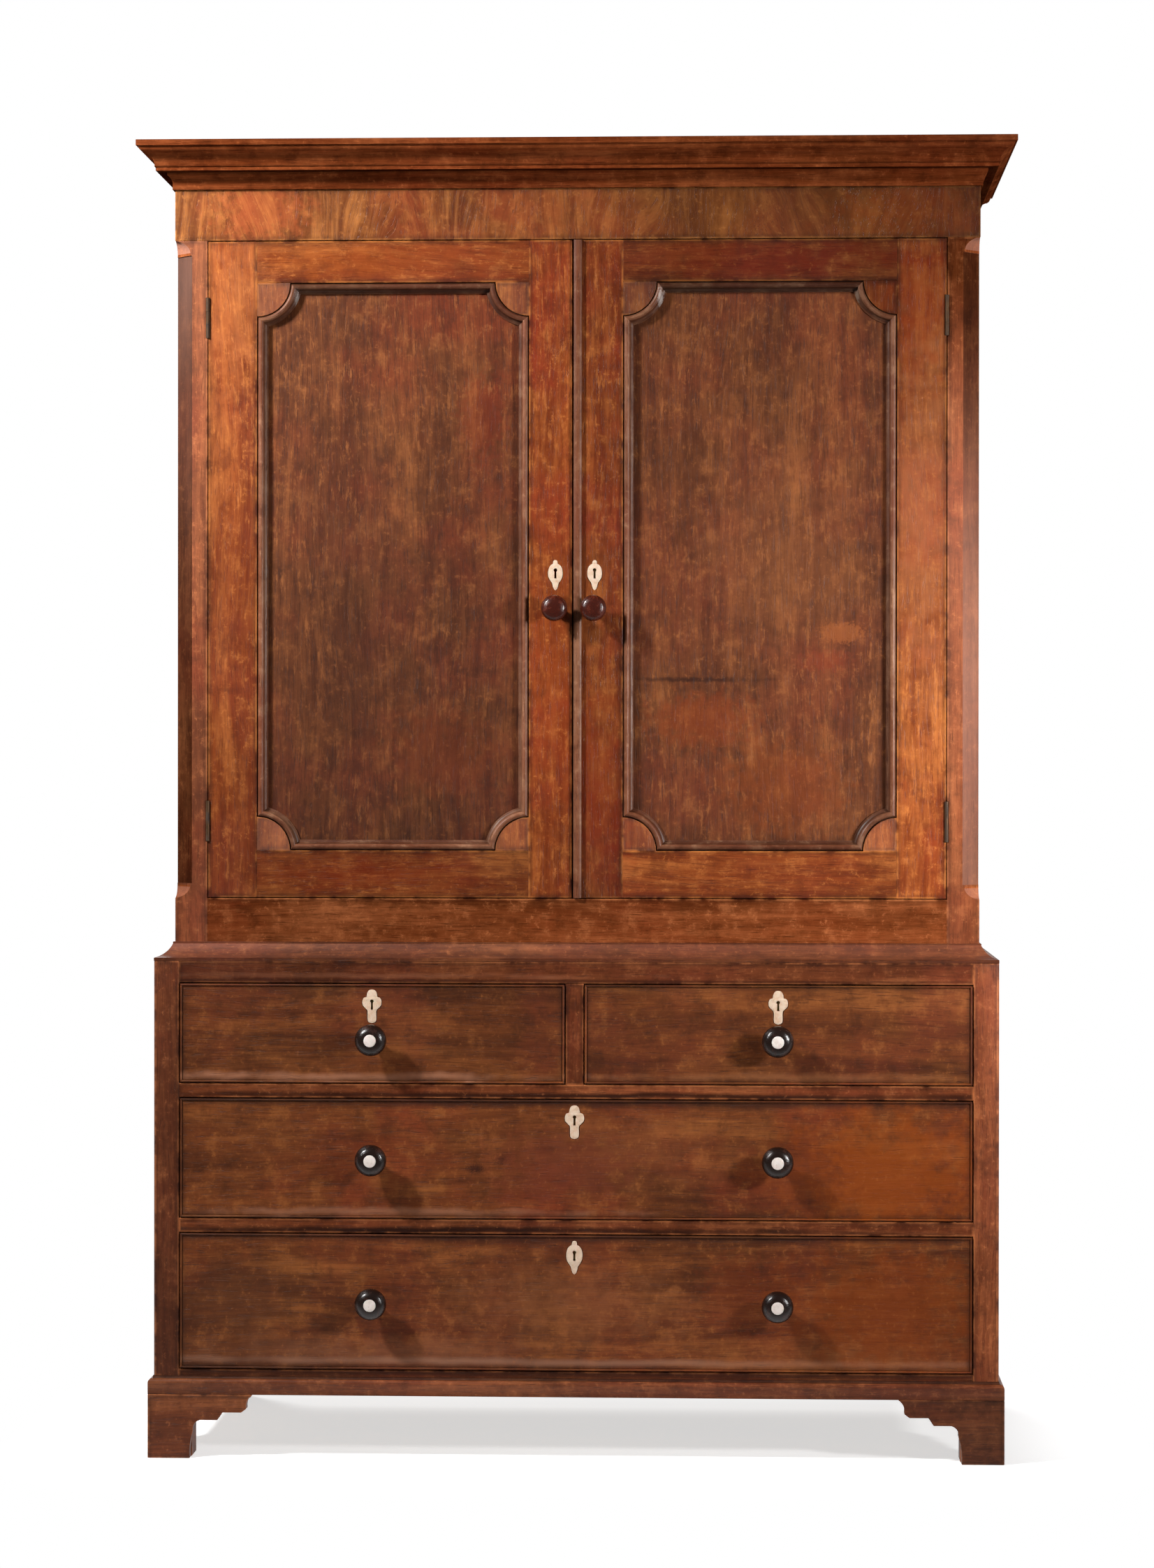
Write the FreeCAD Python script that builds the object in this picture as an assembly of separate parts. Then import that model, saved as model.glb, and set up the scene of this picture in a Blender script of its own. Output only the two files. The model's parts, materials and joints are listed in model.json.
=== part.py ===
import FreeCAD, Part
import math
import os

# Two-part linen press: a cupboard with two panelled doors, standing on a chest of four drawers.
# Millimetres. +Z is up, the front faces -Y, and X = 0 is the plane of symmetry.

V = FreeCAD.Vector

# How far a cutting body runs past the piece that it cuts
over = 1

# Chest of drawers, from the floor up
chest_width = 1256
chest_depth = 560
foot_height = 95
bottom_rail_height = 37
bottom_opening_height = 204
middle_opening_height = 180
short_opening_height = 150
drawer_rail_height = 21
top_rail_height = 32
chest_stile_width = 38
chest_stile_depth = 26
chest_arris = 3
drawer_rail_depth = 70
divider_width = 27

# Cupboard
case_setback = 28
base_rail_height = 93
door_opening_height = 983
frieze_height = 76
frieze_proud = 0.5
frieze_thickness = 25
post_width = 48
chamfer_width = 25
chamfer_stop_length = 22
chamfer_stop_fillet = 2
door_head_height = 29
door_head_depth = 38

# Boards
side_thickness = 20
board_thickness = 20
rail_thickness = 24
back_thickness = 12
back_board_gap = 1
chest_back_count = 5
press_back_count = 6
dust_board_thickness = 9
tenon_thickness = 9
tenon_length = 32
tenon_shoulder = 10

# Mouldings
mitre_reach = 220
cornice_height = 68
cornice_projection = 52
cornice_bed_height = 25
cornice_bed_proud = 3.5
cornice_bed_cove = 7
cornice_fillet = 6
cornice_edge = 9
cornice_core_thickness = 22
cornice_core_drop = 8
waist_moulding_height = 28
waist_moulding_edge = 5
waist_moulding_fillet = 3
base_moulding_height = 27
base_moulding_projection = 8
base_moulding_plain = 17

# Bracket feet
foot_width = 157
foot_thickness = 20
foot_toe_width = 63
foot_block_size = 44

# Shelves
shelf_count = 3
shelf_thickness = 18
shelf_setback = 62
bearer_size = 20

# Doors; they meet beside the middle, so that the bead on the right door lies near the middle
door_thickness = 24
door_gap = 1.5
meeting_gap = 2
meeting_offset = 4.5
hinge_stile_width = 73
meeting_stile_width = 69
door_top_rail_height = 62
door_bottom_rail_height = 70
panel_thickness = 9
panel_recess = 10
panel_groove = 8
panel_moulding_width = 16
panel_moulding_proud = 2.5
spandrel_radius = 50
meeting_bead_width = 12.5
meeting_bead_proud = 6

# Butt hinges
hinge_length = 60
hinge_inset = 114
hinge_leaf_width = 20
hinge_leaf_thickness = 1.6
hinge_knuckle_radius = 2.8
hinge_pin_radius = 1.3
hinge_pin_clearance = 0.05
hinge_axis_proud = 0.6
hinge_knuckle_gap = 0.4
hinge_knuckle_count = 3
hinge_housing_clearance = 0.5

# Slip bolts on the left door
bolt_width = 10
bolt_thickness = 4
bolt_length = 120
bolt_throw = 12
bolt_clearance = 0.3
bolt_from_edge = 34
bolt_retraction = 2
bolt_float = 0.1
bolt_socket_clearance = 0.8
bolt_knob_radius = 3.3
bolt_knob_length = 9
guide_width = 22
guide_length = 96
guide_thickness = 1.5

# Drawers
drawer_gap = 1.5
drawer_front_thickness = 22
drawer_length = 515
drawer_side_thickness = 10
drawer_side_drop = 5
drawer_bottom_thickness = 7
drawer_bottom_rise = 9
drawer_groove = 4
runner_clearance = 0.3
runner_width = 58
guide_strip_height = 22
cock_bead_width = 3.2
cock_bead_depth = 9
cock_bead_proud = 2
dovetail_count = 3
dovetail_cover = 2
dovetail_flare = 2.5
stop_height = 6
stop_width = 40
stop_depth = 36
door_stop_size = 10

# Knobs
drawer_knob_radius = 23.5
drawer_knob_projection = 44
drawer_knob_drop = 8
long_knob_offset = 301
door_knob_radius = 19.5
door_knob_projection = 38
door_knob_height = 431
left_knob_inset = 31
right_knob_inset = 27
shank_radius = 7
shank_clearance = 0.2
inset_radius = 9.2
inset_thickness = 3
inset_proud = 0.8
inset_rim = 1
knob_facets = 16

# Escutcheons and locks
plate_thickness = 3
plate_proud = 0.6
plate_clearance = 0.1
kite_height = 50
kite_width = 26
urn_height = 50
urn_width = 30
door_plate_scale = 0.9
door_plate_height = 481
left_plate_inset = 30.5
right_plate_inset = 28
plate_below_edge = 33
keyhole_radius = 2.2
keyhole_slot = 2.6
keyhole_length = 12.5
key_rise = 7.5
lock_width = 62
lock_height = 46
lock_thickness = 12
lock_bolt_width = 22
lock_bolt_thickness = 6
lock_bolt_length = 26
lock_bolt_throw = 8
lock_bolt_clearance = 0.3
mortice_clearance = 1

# Levels
bottom_drawer_z = foot_height + bottom_rail_height
lower_rail_z = bottom_drawer_z + bottom_opening_height
middle_drawer_z = lower_rail_z + drawer_rail_height
upper_rail_z = middle_drawer_z + middle_opening_height
short_drawer_z = upper_rail_z + drawer_rail_height
top_rail_z = short_drawer_z + short_opening_height
chest_top = top_rail_z + top_rail_height
door_opening_z = chest_top + base_rail_height
frieze_z = door_opening_z + door_opening_height
press_top = frieze_z + frieze_height
total_height = press_top + cornice_height

# Planes
overall_depth = chest_depth + drawer_knob_projection + inset_proud
back = overall_depth / 2
chest_front = back - chest_depth
press_front = chest_front + case_setback
back_boards_front = back - back_thickness
chest_half = chest_width / 2
chest_inner_half = chest_half - side_thickness
opening_half = chest_half - chest_stile_width
press_half = chest_half - case_setback
press_inner_half = press_half - side_thickness
door_opening_half = press_half - post_width

# Doors
door_height = door_opening_height - 2 * door_gap
door_z = door_opening_z + door_gap
door_hinge_x = door_opening_half - door_gap
door_back = press_front + door_thickness
hinge_axis_x = door_opening_half - door_gap / 2
hinge_axis_y = press_front - hinge_axis_proud
hinge_levels = [door_z + hinge_inset, door_z + door_height - hinge_inset]
right_door_edge = meeting_gap / 2 - meeting_offset
left_door_edge = meeting_gap / 2 + meeting_offset
panel_left = meeting_gap / 2 + meeting_stile_width
panel_right = door_hinge_x - hinge_stile_width
panel_low = door_z + door_bottom_rail_height
panel_high = door_z + door_height - door_top_rail_height
door_key_z = door_z + door_plate_height
bolt_x = meeting_gap / 2 + bolt_from_edge
bolt_front = door_back + guide_thickness


def block(x0, x1, y0, y1, z0, z1):
    return Part.makeBox(x1 - x0, y1 - y0, z1 - z0, V(x0, y0, z0))


def mirrored(shape):
    return shape.mirror(V(0, 0, 0), V(1, 0, 0))


def both(shape):
    return [shape, mirrored(shape)]


def rod(radius, start, direction, length):
    return Part.makeCylinder(radius, length, start, direction)


def outline(steps, place):
    # A step is a corner (u, v), or (through_u, through_v, u, v) for an arc that ends at a corner.
    edges = []
    here = place(*steps[0][-2:])
    for step in steps[1:] + steps[:1]:
        there = place(*step[-2:])
        if len(step) == 4:
            edges.append(Part.Arc(here, place(*step[:2]), there).toShape())
        elif here.distanceToPoint(there) > 1e-6:
            edges.append(Part.LineSegment(here, there).toShape())
        here = there
    return Part.Face(Part.Wire(edges))


def front_plate(steps, x, z, y0, y1):
    # A flat piece whose outline lies in a plane parallel to the front.
    face = outline(steps, lambda u, w: V(x + u, y0, z + w))
    return face.extrude(V(0, y1 - y0, 0))


def side_prism(steps, x0, x1):
    # A prism along X whose section is given as (y, z).
    face = outline(steps, lambda y, z: V(x0, y, z))
    return face.extrude(V(x1 - x0, 0, 0))


def turned(steps, x, face_y, z):
    # A piece turned about an axis along Y, as rings of narrow flat facets that keep its mesh light.
    # A step is (radius, distance out from the face); the first and last rings are closed flat.
    rings = []
    for radius, out in steps:
        ring = []
        for i in range(knob_facets):
            angle = 2 * math.pi * i / knob_facets
            ring.append(V(x + radius * math.cos(angle), face_y - out, z + radius * math.sin(angle)))
        rings.append(ring)
    faces = [polygon(rings[0]), polygon(rings[-1])]
    for low, high in zip(rings, rings[1:]):
        for i in range(knob_facets):
            faces.append(polygon([low[i - 1], low[i], high[i], high[i - 1]]))
    solid = Part.Solid(Part.Shell(faces))
    if solid.Volume < 0:
        solid.reverse()
    return solid


def polygon(corners):
    return Part.Face(Part.makePolygon(corners + corners[:1]))


def export(node, solids):
    Part.makeCompound(solids).exportStep("parts/" + node + ".step")


def mitred_run(profile, half_width, front, rear):
    # A moulding round the left side, the front and the right side, mitred at the corners.
    # The profile is (projection from the face, height).
    reach = mitre_reach
    low = min(step[-1] for step in profile) - over
    high = max(step[-1] for step in profile) + over
    run = half_width + reach
    corners = [(-run, -reach), (run, -reach), (half_width - reach, reach), (reach - half_width, reach)]
    wedge = outline(corners, lambda u, v: V(u, front + v, low)).extrude(V(0, 0, high - low))
    bar = outline(profile, lambda p, z: V(-run, front - p, z)).extrude(V(2 * run, 0, 0))
    side = outline(profile, lambda p, z: V(half_width + p, front - reach, z))
    side = side.extrude(V(0, rear - front + reach, 0)).cut(wedge)
    return [bar.common(wedge)] + both(side)


def chest_sides():
    side = block(chest_inner_half, chest_half, chest_front + chest_stile_depth, back, foot_height, chest_top)
    return both(side)


def chest_stiles():
    post = block(opening_half, chest_half, chest_front, chest_front + chest_stile_depth, foot_height, chest_top)
    arris = [(chest_half - chest_arris, 0), (chest_half, 0), (chest_half, chest_arris)]
    worn = outline(arris, lambda x, y: V(x, chest_front + y, foot_height)).extrude(V(0, 0, chest_top - foot_height))
    return both(post.cut(worn))


def lock_mortice(x, z, rise):
    # The hole in a rail that takes a drawer lock's bolt.
    half = lock_bolt_width / 2 + mortice_clearance
    bolt_y = chest_front + drawer_front_thickness - lock_thickness / 2
    y_half = lock_bolt_thickness / 2 + mortice_clearance
    return block(x - half, x + half, bolt_y - y_half, bolt_y + y_half, z, z + rise)


def chest_rails():
    depth = chest_front + drawer_rail_depth
    short_depth = chest_front + chest_stile_depth
    mortice = lock_bolt_throw + mortice_clearance
    bottom = block(-opening_half, opening_half, chest_front, short_depth, foot_height, bottom_drawer_z)
    lower = block(-opening_half, opening_half, chest_front, depth, lower_rail_z, middle_drawer_z)
    lower = lower.cut(lock_mortice(0, lower_rail_z, mortice))
    upper = block(-opening_half, opening_half, chest_front, depth, upper_rail_z, short_drawer_z)
    upper = upper.cut(lock_mortice(0, upper_rail_z, mortice))
    top = block(-opening_half, opening_half, chest_front, short_depth, top_rail_z, chest_top)
    for x in (-long_knob_offset, long_knob_offset):
        top = top.cut(lock_mortice(x, top_rail_z, mortice))
    half = divider_width / 2
    divider = block(-half, half, chest_front, depth, short_drawer_z, top_rail_z)
    return [bottom, lower, upper, top, divider]


def chest_boards():
    front = chest_front + chest_stile_depth
    half = chest_inner_half
    boards = [
        block(-half, half, front, back_boards_front, foot_height, foot_height + board_thickness),
        block(-half, half, front, back_boards_front, chest_top - board_thickness, chest_top),
    ]
    dust_half = chest_inner_half - runner_width
    dust_front = chest_front + drawer_rail_depth
    for z in (lower_rail_z, upper_rail_z):
        low = z + (drawer_rail_height - dust_board_thickness) / 2
        board = block(-dust_half, dust_half, dust_front, back_boards_front, low, low + dust_board_thickness)
        if z == upper_rail_z:
            board = board.cut(centre_runner())
        boards.extend(board.Solids)
    return boards


def centre_runner():
    half = divider_width / 2 + runner_width - chest_stile_width + side_thickness
    front = chest_front + drawer_rail_depth
    return block(-half, half, front, back_boards_front, upper_rail_z, short_drawer_z)


def drawer_runners():
    front = chest_front + drawer_rail_depth
    stile_back = chest_front + chest_stile_depth
    inner = chest_inner_half - runner_width
    solids = []
    levels = [(bottom_drawer_z, bottom_rail_height - board_thickness, stile_back)]
    levels += [(middle_drawer_z, drawer_rail_height, front), (short_drawer_z, drawer_rail_height, front)]
    for top, height, start in levels:
        solids += both(block(inner, chest_inner_half, start, back_boards_front, top - height, top))
        solids += both(
            block(opening_half, chest_inner_half, front, back_boards_front, top, top + guide_strip_height)
        )
    half = divider_width / 2
    solids.append(centre_runner())
    solids.append(
        block(-half, half, front, back_boards_front, short_drawer_z, short_drawer_z + guide_strip_height)
    )
    kicker_top = chest_top - board_thickness
    solids += both(block(inner, chest_inner_half, stile_back, back_boards_front, top_rail_z, kicker_top))
    solids.append(block(-runner_width, runner_width, front, back_boards_front, top_rail_z, kicker_top))
    return solids


def drawer_stops():
    front = chest_front + drawer_front_thickness + runner_clearance
    solids = []
    spans = [(bottom_drawer_z, opening_half / 2), (middle_drawer_z, opening_half / 2)]
    spans += [(short_drawer_z, long_knob_offset - stop_width), (short_drawer_z, long_knob_offset + stop_width)]
    for z, x in spans:
        low = z - bottom_rail_height + board_thickness if z == bottom_drawer_z else z
        piece = block(x - stop_width / 2, x + stop_width / 2, front, front + stop_depth, low, z + stop_height)
        rail_back = chest_front + chest_stile_depth
        if z == bottom_drawer_z:
            piece = piece.cut(block(0, chest_half, front - over, rail_back, low - over, z))
        solids += both(piece)
    return solids


def back_boards(half, low, high, count):
    pitch = (2 * half + back_board_gap) / count
    solids = []
    for i in range(count):
        x = -half + i * pitch
        solids.append(block(x, x + pitch - back_board_gap, back_boards_front, back, low, high))
    return solids


def waist_moulding():
    out = case_setback
    fillet = waist_moulding_fillet
    high = chest_top + waist_moulding_height
    profile = [
        (0, chest_top),
        (out, chest_top),
        (out, chest_top + waist_moulding_edge),
        (out * 0.45, chest_top + waist_moulding_height * 0.44, fillet, high - fillet),
        (fillet, high),
        (0, high),
    ]
    return mitred_run(profile, press_half, press_front, back)


def base_moulding():
    out = base_moulding_projection
    plain = foot_height + base_moulding_plain
    high = foot_height + base_moulding_height
    rise = high - plain
    profile = [
        (0, foot_height),
        (out, foot_height),
        (out, plain),
        (out * 0.8, plain + rise * 0.4, out * 0.45, plain + rise * 0.6),
        (out * 0.2, plain + rise * 0.7, out * 0.12, high),
        (0, high),
    ]
    return mitred_run(profile, chest_half, chest_front, back)


def foot_profile():
    # Distance from the outer corner and height: the scrolled bracket of one foot.
    toe = foot_toe_width
    span = foot_width - toe
    top = foot_height
    return [
        (0, 0),
        (toe, 0),
        (toe + span * 0.01, top * 0.27, toe + span * 0.05, top * 0.43),
        (toe + span * 0.09, top * 0.56, toe + span * 0.16, top * 0.6),
        (toe + span * 0.44, top * 0.6),
        (toe + span * 0.52, top * 0.72),
        (toe + span * 0.82, top * 0.72),
        (toe + span * 0.9, top * 0.78),
        (toe + span * 0.95, top * 0.96, foot_width, top),
        (0, top),
    ]


def bracket_feet():
    # The right-hand feet, mirrored: two facings that meet in a mitre at the front, a facing and a
    # plain brace at the rear, and a glue block in the angle of each.
    out = chest_half + base_moulding_projection
    front = chest_front - base_moulding_projection
    t = foot_thickness
    inner = out - t
    corner = [(0, 0), (-t, t), (-foot_width, t), (-foot_width, 0)]
    wedge = outline(corner, lambda x, y: V(out + x, front + y, 0)).extrude(V(0, 0, foot_height))
    front_face = outline(foot_profile(), lambda d, z: V(out - d, front, z))
    side_face = outline(foot_profile(), lambda d, z: V(inner, front + d, z))
    rear_face = outline(foot_profile(), lambda d, z: V(inner, back - d, z))
    brace_steps = [(0, 0), (-foot_toe_width, 0), (t - foot_width, foot_height), (0, foot_height)]
    brace_face = outline(brace_steps, lambda x, z: V(inner + x, back - t, z))
    size = foot_block_size
    pieces = [
        front_face.extrude(V(0, t, 0)).common(wedge),
        side_face.extrude(V(t, 0, 0)).cut(wedge),
        rear_face.extrude(V(t, 0, 0)),
        brace_face.extrude(V(0, t, 0)),
        block(inner - size, inner, front + t, front + t + size, 0, foot_height),
        block(inner - size, inner, back - t - size, back - t, 0, foot_height),
    ]
    return [solid for piece in pieces for solid in both(piece)]


def press_sides():
    low = block(press_inner_half, press_half, press_front + post_width, back, chest_top, frieze_z)
    high_front = press_front + frieze_thickness - frieze_proud
    high = block(press_inner_half, press_half, high_front, back, frieze_z, press_top)
    return both(low.fuse(high).removeSplitter())


def stopped_chamfer():
    # The cutter for one corner: a bar along the corner that ends below and above in a hollow stop,
    # with a small fillet where the stop meets the chamfer. A step is (depth in from the edge, height).
    depth = chamfer_width / math.sqrt(2)
    low = door_opening_z
    high = frieze_z
    stop = chamfer_stop_length
    hollow = depth - chamfer_stop_fillet
    bend = 1 - math.sqrt(0.5)
    steps = [
        (-depth, low),
        (0, low),
        (hollow * (1 - bend), low + stop * bend, hollow, low + stop),
        (depth, low + stop),
        (depth, high - stop),
        (hollow, high - stop),
        (hollow * (1 - bend), high - stop * bend, 0, high),
        (-depth, high),
    ]
    slant = math.sqrt(0.5)
    across = post_width * slant
    start = V(press_half + across, press_front + across, 0)
    face = outline(steps, lambda d, z: start + V(-d * slant, d * slant, z))
    return face.extrude(V(-2 * across, -2 * across, 0))


def hinge_housing(z):
    # The room that one hinge needs in the wood of the post and the door.
    half = hinge_length / 2
    clear = hinge_housing_clearance
    start = V(hinge_axis_x, hinge_axis_y, z - half - clear)
    return rod(hinge_knuckle_radius + clear, start, V(0, 0, 1), hinge_length + 2 * clear)


def leaf(x0, x1, z):
    half = hinge_length / 2
    return block(x0, x1, press_front, press_front + hinge_leaf_width, z - half, z + half)


def press_front_frame():
    post = block(door_opening_half, press_half, press_front, press_front + post_width, chest_top, frieze_z)
    post = post.cut(stopped_chamfer())
    for z in hinge_levels:
        post = post.cut(hinge_housing(z))
        post = post.cut(leaf(door_opening_half, door_opening_half + hinge_leaf_thickness, z))
    rail_y = press_front + rail_thickness
    tenon_y = press_front + (rail_thickness - tenon_thickness) / 2
    rail = block(-door_opening_half, door_opening_half, press_front, rail_y, chest_top, door_opening_z)
    reach = door_opening_half + tenon_length
    low = chest_top + tenon_shoulder
    high = door_opening_z - tenon_shoulder
    tenon = block(-reach, reach, tenon_y, tenon_y + tenon_thickness, low, high)
    posts = [side.cut(tenon) for side in both(post)]
    return posts + [rail.fuse(tenon).removeSplitter()]


def bolt_socket(z0, z1):
    gap = bolt_socket_clearance
    half = bolt_width / 2 + gap
    return block(-bolt_x - half, -bolt_x + half, bolt_front - gap, bolt_front + bolt_thickness + gap, z0, z1)


def press_boards():
    low_front = press_front + rail_thickness
    top_front = press_front + frieze_thickness - frieze_proud
    half = press_inner_half
    floor_z = door_opening_z - board_thickness
    bottom = block(-half, half, low_front, back_boards_front, floor_z, door_opening_z)
    post = block(door_opening_half, press_half, press_front, press_front + post_width, floor_z, door_opening_z)
    for piece in both(post):
        bottom = bottom.cut(piece)
    bottom = bottom.cut(bolt_socket(floor_z - over, door_opening_z + over))
    top = block(-half, half, top_front, back_boards_front, press_top - board_thickness, press_top)
    head = block(-half, half, top_front, top_front + door_head_depth, frieze_z, frieze_z + door_head_height)
    head = head.cut(bolt_socket(frieze_z - over, frieze_z + bolt_throw + mortice_clearance))
    stop_y = door_back + runner_clearance
    stop_z = frieze_z - door_stop_size
    inner = door_opening_half - post_width
    outer_stop = block(bolt_x + guide_width, inner, stop_y, stop_y + door_stop_size, stop_z, frieze_z)
    return [bottom, top, head] + both(outer_stop)


def frieze():
    out = press_half + frieze_proud
    face = press_front - frieze_proud
    front = block(-out, out, face, face + frieze_thickness, frieze_z, press_top)
    rear = block(press_half, out, face + frieze_thickness, back, frieze_z, press_top)
    return [front] + both(rear)


def cornice_moulding():
    out = cornice_projection
    base = press_top
    top = total_height
    bed = frieze_proud + cornice_bed_proud
    step = base + cornice_bed_height
    cove = cornice_bed_cove
    fillet = out * 0.5
    crown = top - cornice_edge
    sweep = crown - step - cornice_fillet
    profile = [
        (0, base),
        (bed, base),
        (bed, base + cornice_bed_height * 0.2),
        (bed + cove * 0.14, base + cornice_bed_height * 0.56, bed + cove, base + cornice_bed_height * 0.84),
        (bed + cove, step),
        (fillet, step),
        (fillet, step + cornice_fillet),
        (out * 0.53, step + cornice_fillet),
        (out * 0.6, crown - sweep * 0.54, out * 0.78, crown - sweep * 0.29),
        (out * 0.9, crown - sweep * 0.18, out * 0.93, crown),
        (out, crown),
        (out, top),
        (0, top),
    ]
    return mitred_run(profile, press_half, press_front, back)


def cornice_core():
    inner = press_half - cornice_core_thickness
    front = press_front
    top = total_height - cornice_core_drop
    inside = front + cornice_core_thickness
    bars = [block(-press_half, press_half, front, inside, press_top, top)]
    bars += both(block(inner, press_half, inside, back, press_top, top))
    bars.append(block(-inner, inner, back - cornice_core_thickness, back, press_top, top))
    return bars


def shelf_levels():
    room = press_top - board_thickness - door_opening_z - shelf_count * shelf_thickness
    pitch = room / (shelf_count + 1) + shelf_thickness
    return [door_opening_z + (i + 1) * pitch - shelf_thickness for i in range(shelf_count)]


def shelves():
    front = press_front + shelf_setback
    half = press_inner_half
    solids = []
    for z in shelf_levels():
        solids.append(block(-half, half, front, back_boards_front, z, z + shelf_thickness))
        solids += both(block(half - bearer_size, half, front, back_boards_front, z - bearer_size, z))
    return solids


def knuckle_spans():
    # The case leaf has the first knuckle and every second one after it, the door leaf the others.
    pitch = (hinge_length + hinge_knuckle_gap) / hinge_knuckle_count
    length = pitch - hinge_knuckle_gap
    return [(i * pitch - hinge_length / 2, length) for i in range(hinge_knuckle_count)]


def hinge_leaf(x0, x1, z, first, bore):
    plate = block(x0, x1, hinge_axis_y, press_front + hinge_leaf_width, z - hinge_length / 2, z + hinge_length / 2)
    spans = knuckle_spans()
    for i, (low, length) in enumerate(spans):
        start = V(hinge_axis_x, hinge_axis_y, z + low)
        if i % 2 == first:
            plate = plate.fuse(rod(hinge_knuckle_radius, start, V(0, 0, 1), length))
        else:
            gap = hinge_knuckle_gap
            reach = hinge_knuckle_radius + gap
            x, y = hinge_axis_x, hinge_axis_y
            z_low = z + low - gap
            plate = plate.cut(block(x - reach, x + reach, y - reach, y + reach, z_low, z_low + length + 2 * gap))
    if bore:
        start = V(hinge_axis_x, hinge_axis_y, z - hinge_length / 2 - over)
        hole = rod(hinge_pin_radius + hinge_pin_clearance, start, V(0, 0, 1), hinge_length + 2 * over)
        plate = plate.cut(hole)
    return plate.removeSplitter()


def case_hinges():
    solids = []
    for z in hinge_levels:
        x0 = door_opening_half
        body = hinge_leaf(x0, x0 + hinge_leaf_thickness, z, 0, False)
        start = V(hinge_axis_x, hinge_axis_y, z - hinge_length / 2)
        pin = rod(hinge_pin_radius, start, V(0, 0, 1), hinge_length)
        solids += both(body.fuse(pin).removeSplitter())
    return solids


def door_hinges():
    x1 = door_hinge_x
    return [hinge_leaf(x1 - hinge_leaf_thickness, x1, z, 1, True) for z in hinge_levels]


def disc(x, z, radius, y0, y1):
    return rod(radius, V(x, y0, z), V(0, 1, 0), y1 - y0)


def door_frame(edge):
    # The right door's frame: two stiles, two rails with tenons, and a rounded block in each corner.
    # The edge is where the door ends beside the other door.
    back_y = door_back
    y0 = press_front
    z1 = door_z + door_height
    panel_y = y0 + panel_recess
    groove = block(
        panel_left - panel_groove,
        panel_right + panel_groove,
        panel_y,
        panel_y + panel_thickness,
        panel_low - panel_groove,
        panel_high + panel_groove,
    )
    meeting = block(edge, panel_left, y0, back_y, door_z, z1)
    hinge = block(panel_right, door_hinge_x, y0, back_y, door_z, z1)
    bottom = block(panel_left, panel_right, y0, back_y, door_z, panel_low)
    top = block(panel_left, panel_right, y0, back_y, panel_high, z1)
    tenon_low = (door_z + tenon_shoulder, panel_low - panel_groove)
    tenon_high = (panel_high + panel_groove, z1 - tenon_shoulder)
    tenon_y = panel_y
    rails = []
    for rail, (low, high) in ((bottom, tenon_low), (top, tenon_high)):
        tenon = block(
            panel_left - tenon_length,
            panel_right + tenon_length,
            tenon_y,
            tenon_y + panel_thickness,
            low,
            high,
        )
        meeting = meeting.cut(tenon)
        hinge = hinge.cut(tenon)
        rails.append(rail.fuse(tenon).removeSplitter().cut(groove))
    for z in hinge_levels:
        hinge = hinge.cut(hinge_housing(z))
        hinge = hinge.cut(leaf(door_hinge_x - hinge_leaf_thickness, door_hinge_x, z))
    corners = []
    for x in (panel_left, panel_right):
        for z in (panel_low, panel_high):
            room = block(panel_left, panel_right, y0, panel_y, panel_low, panel_high)
            corners.append(disc(x, z, spandrel_radius, y0, panel_y).common(room))
    return [meeting.cut(groove), hinge.cut(groove)] + rails + corners


def door_panel():
    y0 = press_front + panel_recess
    grow = panel_groove
    return block(
        panel_left - grow, panel_right + grow, y0, y0 + panel_thickness, panel_low - grow, panel_high + grow
    )


def moulding_section():
    # The distance from the frame and the height above the panel: a round, a hollow and a fillet.
    width = panel_moulding_width
    high = panel_recess + panel_moulding_proud
    return [
        (0, 0),
        (0, panel_recess),
        (width * 0.18, high),
        (width * 0.5, high),
        (width * 0.72, high * 0.45),
        (width, high * 0.2),
        (width, 0),
    ]


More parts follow.
